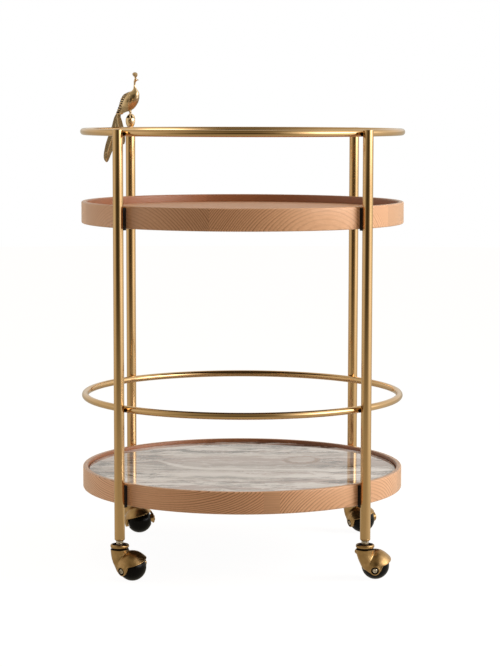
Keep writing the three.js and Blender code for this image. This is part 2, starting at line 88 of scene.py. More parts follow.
# Casters
BALL_FLAT_RADIUS = 12
HOOD_CLEARANCE = 2
HOOD_WALL = 2.8
AXLE_TILT = radians(9)
AXLE_RADIUS = 4
AXLE_HEAD_RADIUS = 4.6
AXLE_HEAD_HEIGHT = 3.4
AXLE_RECESS_RADIUS = 6.6
BOSS_WEB = 3.4
RUNNING_GAP = 0.5
NEAR_BOSS_RADIUS = 9
FAR_WEB_RADIUS = 8
FAR_BOSS_RADIUS = 5
FAR_BOSS_PROUD = 1.3
VISOR_RISE = 11
VISOR_SLOPE = (0.06, 0.3)
VISOR_FLARE = 0.9
NECK_RADIUS = 13.6
LUG_RADIUS = 4.4
LUG_REACH = 19
STEM_RADIUS = 4.75
STEM_BORE = STEM_RADIUS + SEAT_GAP
NUT_ACROSS_FLATS = 12
NUT_GAP = 0.6
CUP_LIFT = 2
CUP_RING_WIDTH = 5
CUP_SPIGOT_RADIUS = 12.5
CUP_FLOOR = 2.5

# Bird
BIRD_TURN = radians(-20)
BIRD_HEIGHT = 84
BIRD_WIDTH = 22
EGG_FOOT_RADIUS = 6
SCALE_HEIGHT = 4.4
SCALE_WIDTH = 4.6


def low(node):
    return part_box(node)[0] / MM


def high(node):
    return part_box(node)[1] / MM


def middle(node):
    return (low(node) + high(node)) / 2


def half_size(node, axis="z"):
    return (getattr(high(node), axis) - getattr(low(node), axis)) / 2


def bottom_top(node):
    return low(node).z, high(node).z


TRAY_RADIUS = high("upper_tray_rim").x
RIM_INNER_RADIUS = TRAY_RADIUS - RIM_WALL
POST_RADIUS = half_size("post_front_left", "x")
POST_CENTRE = hypot(*middle("post_front_left").xy)
CORNER_ANGLE = {name: atan2(*reversed(middle(f"post_{name}").xy)) for name in CORNERS}


# Shapes

def filleted(corners, steps=5):
    """Points of a closed outline whose corners (x, y, radius) are rounded by arcs."""
    points = []
    for index, (x, y, radius) in enumerate(corners):
        here = Vector((x, y))
        if not radius:
            points.append((x, y))
            continue
        before = (Vector(corners[index - 1][:2]) - here).normalized()
        after = (Vector(corners[(index + 1) % len(corners)][:2]) - here).normalized()
        half = before.angle(after) / 2
        centre = here + (before + after).normalized() * radius / sin(half)
        ends = (here + way * radius / tan(half) - centre for way in (before, after))
        first, last = (degrees(atan2(end.y, end.x)) for end in ends)
        points += arc(*centre, radius, first, first + (last - first + 180) % 360 - 180, steps)
    return points


def arc(x, y, radius, start, end, steps):
    """Points of an arc, from one angle in degrees to another."""
    angles = np.radians(np.linspace(start, end, steps + 1))
    return [(x + radius * cos(a), y + radius * sin(a)) for a in angles]


def softened(outline):
    """A closed outline with its corners cut twice, so that it looks curved."""
    for _ in range(2):
        cut = []
        for (x0, y0), (x1, y1) in zip(outline, outline[1:] + outline[:1]):
            cut.append((0.75 * x0 + 0.25 * x1, 0.75 * y0 + 0.25 * y1))
            cut.append((0.25 * x0 + 0.75 * x1, 0.25 * y0 + 0.75 * y1))
        outline = cut
    return outline


def scaled(shares, size):
    """A softened outline from shares of a size."""
    return softened([(u * size, v * size) for u, v in shares])


def ring_radius(angle, radius, flats=0, limit=np.inf):
    """A radius that is flat-sided, inside a round limit, where a number of flats is given."""
    if not flats:
        return radius
    side = 2 * pi / flats
    return min(radius / cos(angle % side - side / 2), limit)


def turned(profile, steps, closed=False):
    """Points and faces of a profile turned about Z: (radius, height), and a number of flats and a
    limit to the radius where it isn't round."""
    points, rings = [], []
    for radius, height, *flats in profile:
        if radius < 1e-6:
            rings.append([len(points)] * steps)
            points.append((0, 0, height))
            continue
        rings.append(list(range(len(points), len(points) + steps)))
        for step in range(steps):
            angle = 2 * pi * step / steps
            reach = ring_radius(angle, radius, *flats)
            points.append((reach * cos(angle), reach * sin(angle), height))
    faces = []
    for lower, upper in zip(rings, rings[1:] + (rings[:1] if closed else [])):
        for i in range(steps):
            j = (i + 1) % steps
            face = list(dict.fromkeys((lower[i], lower[j], upper[j], upper[i])))
            if len(face) > 2:
                faces.append(face)
    return points, faces


def extruded(outline, bottom, top):
    """Points and faces of an outline drawn up along Z."""
    count = len(outline)
    points = [(x, y, z) for z in (bottom, top) for x, y in outline]
    sides = [(i, (i + 1) % count, count + (i + 1) % count, count + i) for i in range(count)]
    return points, [list(range(count))[::-1], list(range(count, 2 * count)), *sides]


def union(a, b, radius):
    share = np.clip(0.5 + 0.5 * (b - a) / radius, 0, 1)
    return b + (a - b) * share - radius * share * (1 - share)


def overlap(a, b, radius):
    return -union(-a, -b, radius)


def carve(a, b, radius):
    return -union(-a, b, radius)


def ramp_up(value, start, end):
    share = np.clip((value - start) / (end - start), 0, 1)
    return share * share * (3 - 2 * share)


def outline_field(u, v, outline):
    """The distance to a closed outline, negative inside it."""
    nearest, inside = np.inf, False
    for (x0, y0), (x1, y1) in zip(outline, outline[1:] + outline[:1]):
        ex, ey = x1 - x0, y1 - y0
        share = np.clip(((u - x0) * ex + (v - y0) * ey) / (ex * ex + ey * ey), 0, 1)
        nearest = np.minimum(nearest, np.hypot(u - x0 - share * ex, v - y0 - share * ey))
        crosses = (y0 > v) != (y1 > v)
        inside = inside ^ (crosses & (u < ex * (v - y0) / (ey if ey else 1e-9) + x0))
    return np.where(inside, -nearest, nearest)


def limb_field(x, y, z, start, end, start_radius, end_radius):
    """The distance to a round-ended bar that tapers from one point to another."""
    parts = [(value - a, b - a) for value, a, b in zip((x, y, z), start, end)]
    share = np.clip(sum(gap * way for gap, way in parts) / sum(way * way for _, way in parts), 0, 1)
    gap = np.sqrt(sum((gap - share * way) ** 2 for gap, way in parts))
    return gap - start_radius - share * (end_radius - start_radius)


def loft_field(x, y, z, table):
    """Roughly the distance to smoothly stacked ellipses: (height, centre x, centre y, half width
    along x, half width along y)."""
    table = np.array(table, float)
    heights = np.linspace(table[0, 0], table[-1, 0], 8 * len(table))
    columns = [np.interp(heights, table[:, 0], column) for column in table[:, 1:].T]
    kernel = np.array([1, 4, 7, 8, 7, 4, 1]) / 32
    columns = [np.convolve(np.pad(c, 3, mode="edge"), kernel, mode="valid") for c in columns]
    cx, cy, rx, ry = (np.interp(z, heights, column) for column in columns)
    share = np.sqrt(((x - cx) / rx) ** 2 + ((y - cy) / ry) ** 2)
    side = (share - 1) * np.minimum(rx, ry)
    return overlap(side, np.maximum(table[0, 0] - z, z - table[-1, 0]), 0.8)


def slope_of(field, points):
    """The direction in which a field grows at each point, and how fast."""
    reach = 0.05
    rises = [field(*(points + step).T) - field(*(points - step).T) for step in reach * np.eye(3)]
    return np.stack(rises, axis=1) / (2 * reach)


def skin(field, lowest, highest, step, shade=None):
    """The surface on which a field is nought, as points, quads and the patina and painted shade at
    each point, darker where the surface closes round it. A shade function adds more darkening."""
    axes = [np.arange(a, b + step, step) for a, b in zip(lowest, highest)]
    sparse = np.meshgrid(*axes, indexing="ij", sparse=True)
    values = np.broadcast_to(field(*sparse), [len(axis) for axis in axes]).astype(np.float32)
    cells = tuple(count - 1 for count in values.shape)
    total = np.zeros(cells + (3,), np.float32)
    count = np.zeros(cells, np.float32)
    rings = []
    for axis in range(3):
        a, b = np.delete(values, -1, axis), np.delete(values, 0, axis)
        edges = np.argwhere((a < 0) != (b < 0))
        at = tuple(edges.T)
        place = edges.astype(np.float32)
        place[:, axis] += a[at] / (a[at] - b[at])
        corners = []
        for offset in ((0, 0), (1, 0), (1, 1), (0, 1)):
            cell = tuple((edges - np.insert(offset, axis, 0)).T)
            np.add.at(total, cell, place)
            np.add.at(count, cell, 1)
            corners.append(cell)
        rings.append((corners, (a[at] < 0) ^ (axis == 1)))
    used = count > 0
    number = np.full(cells, -1)
    number[used] = np.arange(used.sum())
    points = total[used] / count[used][:, None] * step + np.array(lowest)
    faces = []
    for corners, outward in rings:
        quads = np.stack([number[cell] for cell in corners], axis=1)
        quads[~outward] = quads[~outward][:, ::-1]
        faces.append(quads)
    for _ in range(2):
        slope = slope_of(field, points)
        square = np.maximum((slope ** 2).sum(axis=1), 0.05)
        move = slope * (field(*points.T) / square)[:, None]
        points = points - np.clip(move, -0.5 * step, 0.5 * step)
    slope = slope_of(field, points)
    normal = slope / np.maximum(np.linalg.norm(slope, axis=1), 1e-6)[:, None]
    # Patina and painted shade: darker where nearby surface closes round a point, as in creases and recesses
    patina_and_shade = sum(
        np.clip(1 - field(*(points + normal * reach).T) / reach, 0, 1) for reach in (0.6, 1.2, 2.4)
    ) / 3
    if shade:
        patina_and_shade = np.maximum(patina_and_shade, shade(*points.T))
    return points, np.concatenate(faces), patina_and_shade


# Pieces

def add_object(name, data):
    thing = bpy.data.objects.new(name, data)
    bpy.context.scene.collection.objects.link(thing)
    return thing


def make_mesh(name, shape, material):
    """A mesh from points in millimetres, faces and perhaps the patina and painted shade at each point."""
    points, faces, *patina_and_shade = shape
    mesh = bpy.data.meshes.new(name)
    mesh.from_pydata((np.array(points, float) * MM).tolist(), [], [list(map(int, f)) for f in faces])
    if patina_and_shade:
        mesh.attributes.new("patina_and_shade", "FLOAT", "POINT").data.foreach_set("value", patina_and_shade[0])
    mesh.materials.append(material)
    return mesh


def add_piece(name, shape, look, nodes, matrix=None, body="cart", sharp=32):
    """A piece on a body, in the place of CAD nodes. Its shape can be another piece's mesh."""
    material, slot = look
    mesh = shape
    if isinstance(shape, tuple):
        mesh = make_mesh(name, shape, material)
        mesh.shade_smooth()
        mesh.set_sharp_from_angle(angle=radians(sharp))
    piece = add_object(name, mesh)
    if matrix is not None:
        piece.matrix_world = matrix
    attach(piece, body)
    if nodes:
        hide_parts(*nodes)
    return piece


def at(x, y, z, turn=0):
    return Matrix.Translation(Vector((x, y, z)) * MM) @ Matrix.Rotation(turn, 4, "Z")


# Materials

def operator(operation):
    return lambda self, other=0: self.graph.math(operation, self, other)


class Value:
    """A node's output. Sums that it stands in are made as Math nodes."""
    __add__ = __radd__ = operator("ADD")
    __sub__ = operator("SUBTRACT")
    __mul__ = __rmul__ = operator("MULTIPLY")
    __truediv__ = operator("DIVIDE")
    __abs__ = operator("ABSOLUTE")

    def __init__(self, graph, socket):
        self.graph, self.socket = graph, socket


class Graph:
    """Adds nodes to a tree and joins them up."""

    def __init__(self, tree):
        self.tree = tree
        tree.nodes.clear()

    def put(self, socket, value):
        value = getattr(value, "socket", value)
        if isinstance(value, bpy.types.NodeSocket):
            self.tree.links.new(value, socket)
        elif isinstance(value, tuple) and socket.type == "RGBA":
            socket.default_value = (*value, 1)
        else:
            socket.default_value = value

    def add(self, kind, *values, named={}, **settings):
        """A node, with its first inputs and its named ones set or joined up."""
        node = self.tree.nodes.new(kind)
        for key, value in settings.items():
            setattr(node, key, value)
        for socket, value in zip(node.inputs, values):
            self.put(socket, value)
        for name, value in named.items():
            self.put(node.inputs[name], value)
        return node

    def out(self, kind, *values, **settings):
        return Value(self, self.add(kind, *values, **settings).outputs[0])

    def place(self, kind="Object"):
        return Value(self, self.add("ShaderNodeTexCoord").outputs[kind])

    def math(self, operation, a, b=0):
        return self.out("ShaderNodeMath", a, b, operation=operation)

    def vector(self, operation, a, b):
        return self.out("ShaderNodeVectorMath", a, b, operation=operation)

    def split(self, vector):
        return [Value(self, socket) for socket in self.add("ShaderNodeSeparateXYZ", vector).outputs]

    def join(self, x, y, z):
        return self.out("ShaderNodeCombineXYZ", x, y, z)

    def length(self, *parts):
        return self.math("SQRT", sum(part * part for part in parts))

    def noise(self, place, scale, detail=2, roughness=0.5):
        named = {"Scale": scale, "Detail": detail, "Roughness": roughness}
        return Value(self, self.add("ShaderNodeTexNoise", place, named=named).outputs["Fac"])

    def ramp(self, factor, stops, interpolation="LINEAR"):
        """A colour ramp through (position, colour) stops."""
        node = self.add("ShaderNodeValToRGB", factor)
        node.color_ramp.interpolation = interpolation
        elements = node.color_ramp.elements
        while len(elements) < len(stops):
            elements.new(0.5)
        for element, (position, colour) in zip(elements, stops):
            element.position = position
            element.color = (*colour, 1)
        return Value(self, node.outputs[0])

    def levels(self, factor, low_in, high_in, low_out=0, high_out=1):
        """A number moved from one range to another, and kept inside it."""
        return self.out("ShaderNodeMapRange", factor, low_in, high_in, low_out, high_out)

    def mix(self, factor, a, b, blend="MIX"):
        node = self.add("ShaderNodeMix", factor, data_type="RGBA", blend_type=blend)
        self.put(node.inputs[6], a)
        self.put(node.inputs[7], b)
        return Value(self, node.outputs[2])

    def multiply(self, a, b):
        return self.mix(1, a, b, "MULTIPLY")

    def shine(self, colour, strength=1, kind="ShaderNodeEmission"):
        return self.out(kind, colour, strength)

    def blend(self, factor, a, b):
        return self.out("ShaderNodeMixShader", factor, a, b)

    def by_ray(self, camera, metal, rest):
        """One shader for the camera, one for reflections in metal and one for all other light."""
        path = self.add("ShaderNodeLightPath").outputs
        rest = self.blend(path["Is Glossy Ray"], rest, metal)
        return self.blend(path["Is Camera Ray"], rest, camera)


class Surface(Graph):
    """Builds one material round a Principled shader."""

    def __init__(self, name, metallic=0, roughness=0.5, coat=0, ior=1.5, specular=0.5):
        self.material = bpy.data.materials.new(name)
        self.material.use_nodes = True
        super().__init__(self.material.node_tree)
        self.shader = self.add("ShaderNodeBsdfPrincipled", named={
            "Metallic": metallic, "Roughness": roughness, "Coat Weight": coat, "Coat Roughness": 0.25,
            "IOR": ior, "Specular IOR Level": specular,
        })
        self.output = self.add("ShaderNodeOutputMaterial", self.shader.outputs[0])

    def bump(self, height, strength, distance):
        named = {"Strength": strength, "Distance": distance * MM, "Height": height}
        self.put(self.shader.inputs["Normal"], self.add("ShaderNodeBump", named=named).outputs[0])

    def finish(self, colour, roughness=None):
        self.put(self.shader.inputs["Base Color"], colour)
        if roughness is not None:
            self.put(self.shader.inputs["Roughness"], roughness)
        return self.material


def brass():
    """Satin drawn brass with faint streaks along the tube."""
    s = Surface("satin_brass", metallic=1)
    place = s.place()
    streaks = s.noise(s.vector("MULTIPLY", place, (1, 1, 0.02)), 1400, 3)
    clouds = s.noise(place, 9, 4, 0.6)
    tone = s.ramp(clouds, [(0.3, (0.69, 0.445, 0.205)), (0.7, (0.79, 0.505, 0.245))])
    colour = s.mix(s.levels(streaks, 0.35, 0.65, 0, 0.16), tone, (0.55, 0.35, 0.15))
    s.bump(streaks, 0.05, 0.05)
    return s.finish(colour, s.levels(streaks, 0.3, 0.7, 0.09, 0.12) + s.levels(clouds, 0.3, 0.7, 0, 0.03))


def cast_metal(name, bright, deep, dark, roughness):
    """Cast metal, polished where it is rubbed and dark with the patina and painted shade of its mesh."""
    s = Surface(name, metallic=1)
    place = s.place()
    grain = s.noise(place, 900, 4, 0.6)
    clouds = s.noise(place, 70, 4, 0.65)
    tone = s.ramp(clouds, [(0.32, deep), (0.66, bright)])
    # The mesh's patina and painted shade, with a little grain added
    patina_and_shade = Value(s, s.add("ShaderNodeAttribute", attribute_name="patina_and_shade").outputs["Fac"])
    patina_and_shade += s.levels(grain, 0.3, 0.7, -0.06, 0.06)
    s.bump(grain, 0.06, 0.05)
    polish = s.levels(clouds, 0.3, 0.7, roughness - 0.03, roughness + 0.05)
    colour = s.mix(s.levels(patina_and_shade, 0.16, 0.5), tone, dark)
    return s.finish(colour, polish + s.levels(patina_and_shade, 0.1, 0.5, 0, 0.22))


def growth_rings(s, local, width):
    """Annual rings, fibres and how strongly each ring shows. The log lies along Y and its heart
    is at the origin."""
    wander = s.noise(s.vector("MULTIPLY", local, (14, 6, 14)), 1, 3)
    x, _, z = s.split(local)
    distance = (wander - 0.5) * 0.008 + s.length(x, z)
    uneven = s.noise(s.join(distance, 0, 0), 60, 2)
    rings = s.math("FRACT", uneven * 1.5 + distance / width)
    fibres = s.noise(s.vector("MULTIPLY", local, (1, 0.035, 1)), 1100, 3, 0.6)
    strength = s.levels(s.noise(s.join(distance, 0.4, 0), 170, 2), 0.36, 0.6, 0.4, 1)
    return rings, fibres, strength


def wood_colour(s, rings, fibres, light, mid, dark):
    colour = s.ramp(rings, [(0, dark), (0.14, light), (0.4, light), (0.72, mid), (0.9, dark), (1, dark)])
    return s.mix(s.levels(fibres, 0.38, 0.62, 0, 0.35), colour, s.multiply(colour, (0.74, 0.64, 0.56)))


def bent_wood(name, segments):
    """The rims' lacquered wood, glued up from segments that are sawn to a curve, so that the rings
    run out in arches. A segment is (the angles of its start and of its middle, how far the log's
    heart lies outside the rim and above its lower edge, tone, ring width, how strongly the rings
    show at its ends, how much the heart bends down towards them)."""
    s = Surface(name, roughness=0.42, coat=0.5)
    place = s.place()
    x, y, _ = s.split(place)
    turn = s.math("ARCTAN2", y, x) * (0.5 / pi) + 0.5
    reach = 400 * MM
    widest = 10 * MM
    tables = [], [], []
    for start, centre, outside, rise, tone, width, contrast, bend in segments:
        for stops, entry in zip(tables, (
            (centre / 360 + 0.5, outside * MM / reach + 0.5, rise * MM / reach + 0.5),
            (tone / 2, width * MM / widest, contrast / 2),
            (bend, bend, bend),
        )):
            stops.append(((start / 360 + 0.5) % 1, entry))
    for stops in tables:
        stops.sort()
        stops.insert(0, (0, stops[-1][1]))
    where, what, how = (s.split(s.ramp(turn, stops, "CONSTANT")) for stops in tables)
    middle_turn, outside, rise = where
    tone, width, contrast = what
    named = {"Angle": (middle_turn - 0.5) * (-2 * pi)}
    turned_back = s.add("ShaderNodeVectorRotate", place, named=named, rotation_type="Z_AXIS").outputs[0]
    along = abs(s.split(turned_back)[1])
    droop = along * along * (how[0] * -1)
    heart = s.join(
        (outside - 0.5) * reach + TRAY_RADIUS * MM, middle_turn * -3, (rise - 0.5) * reach + droop
    )
    local = s.vector("SUBTRACT", turned_back, heart)
    rings, fibres, strength = growth_rings(s, local, width * widest)
    colour = wood_colour(s, rings, fibres, (0.73, 0.435, 0.25), (0.62, 0.34, 0.18), (0.31, 0.14, 0.06))
    plain = s.mix(s.levels(fibres, 0.35, 0.65), (0.66, 0.38, 0.21), (0.57, 0.32, 0.17))
    colour = s.mix(contrast * s.levels(along, 0.03, 0.16, 0.6, 2) * strength, plain, colour)
    blotch = s.levels(s.noise(place, 7, 3), 0.35, 0.65, 0, 0.4)
    colour = s.mix(blotch, colour, s.multiply(colour, (0.84, 0.78, 0.72)))
    tone *= 2
    colour = s.multiply(colour, s.join(tone, tone, tone))
    # Painted shade: the inner walls are darker and browner, as they lie in the rim's shade
    inner = s.levels(s.length(x, y), (RIM_INNER_RADIUS + 1) * MM, (RIM_INNER_RADIUS + 3) * MM, 1, 0)
    painted_inner_shade = s.multiply(s.mix(0.55, colour, (0.56, 0.31, 0.165)), (0.5, 0.33, 0.24))
    s.bump(s.math("PINGPONG", rings, 0.5) * 1.2 + fibres, 0.3, 0.4)
    return s.finish(s.mix(inner, colour, painted_inner_shade), s.levels(fibres, 0.35, 0.65, 0.36, 0.5))


def veneer():
    """The floors' veneer, in flat-sawn leaves that run from side to side, each with long arches
    down its middle, and painted shade, nearly black, on their undersides."""
    s = Surface("floor_veneer", roughness=0.5, specular=0.3)
    leaf_width = 0.125
    x, y, _ = s.split(s.place())
    leaf = s.math("FLOOR", (y + 1) / leaf_width)
    depth = s.math("SINE", leaf * 12.9898) * 0.015 + 0.055
    local = s.join(y + 0.94 - leaf * leaf_width, x, x * 0.13 + depth)
    rings, fibres, strength = growth_rings(s, local, 5 * MM)
    figure = wood_colour(s, rings, fibres, (0.6, 0.35, 0.21), (0.56, 0.318, 0.187), (0.47, 0.255, 0.145))
    colour = s.mix(strength, s.mix(fibres, (0.6, 0.35, 0.21), (0.54, 0.305, 0.18)), figure)
    # Painted shade: faces that look down are made nearly black
    facing = s.split(s.add("ShaderNodeNewGeometry").outputs["True Normal"])[2]
    painted_underside_shade = s.mix(rings, (0.04, 0.025, 0.015), (0.025, 0.015, 0.01))
    colour = s.mix(s.levels(facing, -0.6, -0.4, 1, 0), colour, painted_underside_shade)
    return s.finish(colour, s.levels(fibres, 0.35, 0.65, 0.42, 0.56))


def marble():
    """Polished marble in wavy bands from front to back, with thin dark veins, a milky line that
    sweeps in from the left and a rusty ring."""
    s = Surface("banded_marble", roughness=0.035, ior=1.45)
    x, level, _ = s.split(s.place())

    def streaks(along, across, seed, detail=5, roughness=0.68):
        return s.noise(s.join(x * along, level * across, seed), 1, detail, roughness)

    def line(value, centre, half_width, strength=1):
        return s.levels(abs(value - centre), 0.3 * half_width, half_width, strength, 0)

    slow, quick = streaks(2.4, 3, 0.3), streaks(11, 16, 1.7)
    level = (slow - 0.5) * 0.07 + level
    level = (quick - 0.5) * 0.05 + level
    white, cream, grey = (0.91, 0.885, 0.86), (0.67, 0.605, 0.56), (0.52, 0.49, 0.465)
    taupe, rose, mauve = (0.37, 0.3, 0.265), (0.46, 0.35, 0.315), (0.17, 0.09, 0.075)
    layers = [
        (-0.30, cream), (-0.235, rose), (-0.21, rose), (-0.195, white), (-0.175, white), (-0.16, rose),
        (-0.14, cream), (-0.118, grey), (-0.105, white), (-0.088, white), (-0.078, rose), (-0.055, taupe),
        (0, taupe), (0.05, rose), (0.10, rose), (0.13, cream), (0.165, taupe), (0.18, mauve),
        (0.19, white), (0.235, grey), (0.25, mauve), (0.262, rose), (0.30, grey),
    ]
    span = 0.3
    share = level * (0.5 / span) + 0.5
    colour = s.ramp(share, [(0.5 + 0.5 * height / span, tone) for height, tone in layers])
    calm = s.math("MAXIMUM", s.levels(level, -0.03, -0.1), s.levels(level, 0.06, 0.15))
    calm = s.levels(calm, 0, 1, 0.3, 1)
    milky, muddy = streaks(4.5, 24, 6), streaks(3.6, 22, 14)
    colour = s.mix(s.levels(milky, 0.51, 0.54, 0, 0.9) * calm, colour, white)
    colour = s.mix(s.levels(muddy, 0.54, 0.57, 0, 0.75) * calm, colour, rose)

    patches = streaks(6, 8, 2, 2)
    threads = streaks(5.5, 24, 9, 5, 0.65)
    vein = line(threads, 0.5, 0.06) * s.levels(patches, 0.44, 0.5)
    veined = s.math("MAXIMUM", s.levels(level, 0.12, 0.17), s.levels(level, -0.09, -0.13, 0, 0.55))
    veined = s.math("MAXIMUM", veined, s.levels(abs(x), 0.1, 0.17, 0, 0.9))
    colour = s.mix(vein * veined, colour, (0.05, 0.024, 0.018))
    colour = s.mix(line(streaks(2.4, 18, 21), 0.47, 0.028, 0.6), colour, white)

    sweep = s.math("POWER", e, (x + 0.17) * (-1 / 0.045))
    milk = line(sweep * -0.12 + level, -0.043, 0.018, 0.95) * s.levels(x, -0.175, -0.14)
    colour = s.mix(milk, colour, white)

    offset = level - 0.066
    eye = s.length((x - 0.1155) / 0.032, offset / 0.038)
    colour = s.mix(s.levels(eye, 0.5, 1, 0.35, 0), colour, cream)
    ring = line(eye, 1, 0.26) * s.levels(offset, -0.012, 0.02, 1, 0.45)
    return s.finish(s.mix(ring, colour, (0.27, 0.125, 0.05)))


def speckled(name, grain, relief, tones, rough, clouds=None, stretch=1, **shader):
    """A material whose relief and roughness follow a fine grain, and whose tone follows broader
    clouds or the grain."""
    s = Surface(name, **shader)
    place = s.place()
    specks = s.noise(s.vector("MULTIPLY", place, (1, 1, stretch)), *grain)
    s.bump(specks, *relief)
    tone = s.noise(place, clouds, 3) if clouds else specks
    return s.finish(s.ramp(tone, tones), s.levels(specks, *rough))


# Each look is a material and its slot
BRASS = brass(), "brass"
BRONZE = cast_metal(
    "caster_bronze", (0.6, 0.38, 0.165), (0.4, 0.235, 0.095), (0.02, 0.01, 0.004), 0.3
), "bronze"
BRAZE = cast_metal(
    "dark_braze", (0.16, 0.1, 0.05), (0.07, 0.042, 0.02), (0.012, 0.008, 0.004), 0.35
), "brass"
BIRD_BRASS = cast_metal(
    "cast_bird_brass", (0.93, 0.7, 0.42), (0.85, 0.59, 0.315), (0.04, 0.019, 0.007), 0.16
), "brass"
STEEL = speckled(
    "plated_steel", (600, 4, 0.6), (0.1, 0.05), [(0.35, (0.6, 0.5, 0.37)), (0.62, (0.85, 0.78, 0.67))],
    (0.3, 0.7, 0.2, 0.34), 140, metallic=1,
), "steel"
BLACK = speckled(
    "black_saddle_lacquer", (1500, 3), (0.15, 0.05),
    [(0.3, (0.005, 0.004, 0.0035)), (0.7, (0.011, 0.009, 0.008))], (0.3, 0.7, 0.5, 0.65), specular=0.3,
), "black_saddle"
RUBBER = speckled(
    "black_rubber", (1200, 3), (0.2, 0.05),
    [(0.3, (0.006, 0.006, 0.006)), (0.7, (0.014, 0.013, 0.012))], (0.3, 0.7, 0.5, 0.7), specular=0.3,
), "rubber"
BALL_BLACK = speckled(
    "ball_black", (420, 5, 0.65), (0.04, 0.04),
    [(0.35, (0.003, 0.0027, 0.0027)), (0.7, (0.006, 0.0055, 0.005))], (0.4, 0.7, 0.14, 0.28), 60, 0.25,
    specular=0.1,
), "ball"
MARBLE = marble(), "marble"
VENEER = veneer(), "wood"
UPPER_WOOD = bent_wood("upper_rim_wood", [
    (-162, -134, 120, -40, 0.87, 3.1, 1, 1.4), (-102, -61, 58, -8, 1, 3.4, 1, 1.6),
    (-30, -8, 45, 60, 0.83, 2.8, 0.35, 0), (18, 50, -80, -30, 0.92, 2.6, 0.8, 0),
    (58, 80, 100, -25, 0.9, 2.5, 0.8, 0), (104, 130, 100, -60, 1.15, 2.5, 0.9, 0),
    (158, 182, -90, 70, 0.95, 2.6, 0.35, 0),
]), "wood"
LOWER_WOOD = bent_wood("lower_rim_wood", [
    (-168, -127, 20, 110, 1.02, 3.6, 1.3, 0), (-83.2, -80, -20, -150, 0.9, 4.4, 0.9, 0),
    (-77.4, -46, 89, -40, 0.98, 3.6, 1.3, 1), (-17, 20, 60, -30, 0.89, 3, 0.8, 0),
    (43, 75, -80, 60, 0.92, 2.6, 0.8, 0), (103, 135, 95, -25, 1.1, 2.5, 0.9, 0),
]), "wood"


# Trays

def rim(height):
    floor_bottom = low("upper_tray_floor").z - low("upper_tray_rim").z
    inner = RIM_INNER_RADIUS
    profile = filleted([
        (inner, 0, 0.6), (TRAY_RADIUS, 0, RIM_ROUND), (TRAY_RADIUS, height, RIM_ROUND),
        (inner, height, RIM_ROUND), (inner, floor_bottom, 0), (inner - LEDGE_WIDTH, floor_bottom, 0),
        (inner - LEDGE_WIDTH, LEDGE_BOTTOM, 0.5), (inner, LEDGE_BOTTOM, 0),
    ])
    return turned(profile, 360, closed=True)


def disc(node, edge_round, gap=0):
    """A round plate with softened edges in the place of a node."""
    radius = high(node).x - gap
    bottom, top = bottom_top(node)
    edge = filleted([(0, bottom, 0), (radius, bottom, edge_round), (radius, top, edge_round), (0, top, 0)])
    rings = [(radius * share, top) for share in (0.95, 0.7, 0.4)]
    return turned([*edge[:-1], *rings, (0, top)], 360)


def saddle(height):
    """A block hollowed to fit round the rim on one side and the post on the other."""
    inner = TRAY_RADIUS + SEAT_GAP
    outer = POST_RADIUS + SEAT_GAP
    inner_angle = degrees(asin(SADDLE_HALF_WIDTH / inner))
    outer_angle = degrees(asin(SADDLE_HALF_WIDTH / outer))
    outline = arc(0, 0, inner, inner_angle, -inner_angle, 10)
    outline += arc(POST_CENTRE, 0, outer, 180 + outer_angle, 180 - outer_angle, 40)
    return extruded(outline, -SADDLE_DROP, height - SADDLE_TOP_INSET)


def tray_screw():
    """A pan-head screw with a hexagonal socket, its head at the bottom."""
    height, radius, shank = SCREW_HEAD_HEIGHT, SCREW_HEAD_RADIUS, SCREW_SHANK_RADIUS
    length = POST_CENTRE - POST_RADIUS + POST_WALL + SCREW_REACH - RIM_INNER_RADIUS + 2 * SEAT_GAP
    socket = 0.45 * radius
    return turned([
        (0, 0.6 * height), (socket, 0.6 * height, 6), (socket, 0, 6), (1.25 * socket, 0),
        *arc(radius - height / 2, height / 2, height / 2, -80, 0, 5),
        (radius, height), (shank, height), (shank, height + length - 0.5), (shank - 0.5, height + length),
        (0, height + length),
    ], 48)


def add_tray(level, wood):
    rim_node, floor_node = f"{level}_tray_rim", f"{level}_tray_floor"
    bottom, top = bottom_top(rim_node)
    add_piece(f"{level}_rim_wood", rim(top - bottom), wood, [rim_node], at(0, 0, bottom))
    add_piece(f"{level}_floor_panel", disc(floor_node, FLOOR_EDGE_ROUND), VENEER, [floor_node])
    screw_shape = tray_screw()
    for name in CORNERS:
        turn = CORNER_ANGLE[name]
        block = add_piece(f"{level}_block_{name}", saddle(top - bottom), BLACK,
                          [f"{level}_saddle_{name}"], at(0, 0, bottom, turn))
        bevel = block.modifiers.new("Edges", "BEVEL")
        bevel.width = SADDLE_EDGE * MM
        bevel.segments = 3
        bevel.limit_method = "ANGLE"
        bevel.angle_limit = radians(50)
        bevel.harden_normals = True
        screw_node = f"{level}_screw_{name}"
        start = RIM_INNER_RADIUS - 2 * SEAT_GAP - SCREW_HEAD_HEIGHT
        spot = at(0, 0, middle(screw_node).z, turn)
        place = spot @ Matrix.Translation((start * MM, 0, 0)) @ Matrix.Rotation(pi / 2, 4, "Y")
        add_piece(f"{level}_bolt_{name}", screw_shape, STEEL, [screw_node], place)


# Posts and rails

def post(bottom, top):
    bore = POST_RADIUS - POST_WALL
    profile = filleted([
        (bore, bottom, 0.2), (POST_RADIUS, bottom, POST_SEAM_ROUND), (POST_RADIUS, top, POST_END_ROUND),
        (0, top, 0), (0, top - POST_WALL, 0), (bore, top - POST_WALL, 0.8),
    ], 6)
    return turned(profile, 96, closed=True)


def post_plug(bottom, seam, top):
    radius = POST_RADIUS - POST_WALL - SEAT_GAP
    profile = filleted([
        (STEM_BORE, bottom, 0.4), (POST_RADIUS, bottom, 3), (POST_RADIUS, seam, POST_SEAM_ROUND),
        (radius, seam, 0), (radius, top, 0.6), (STEM_BORE, top, 0.4),
    ], 7)
    return turned(profile, 96, closed=True)


def rail(node):
    tube = half_size(node)
    return turned(arc(high(node).x - tube, middle(node).z, tube, 0, 360, 32)[:-1], 288, closed=True)


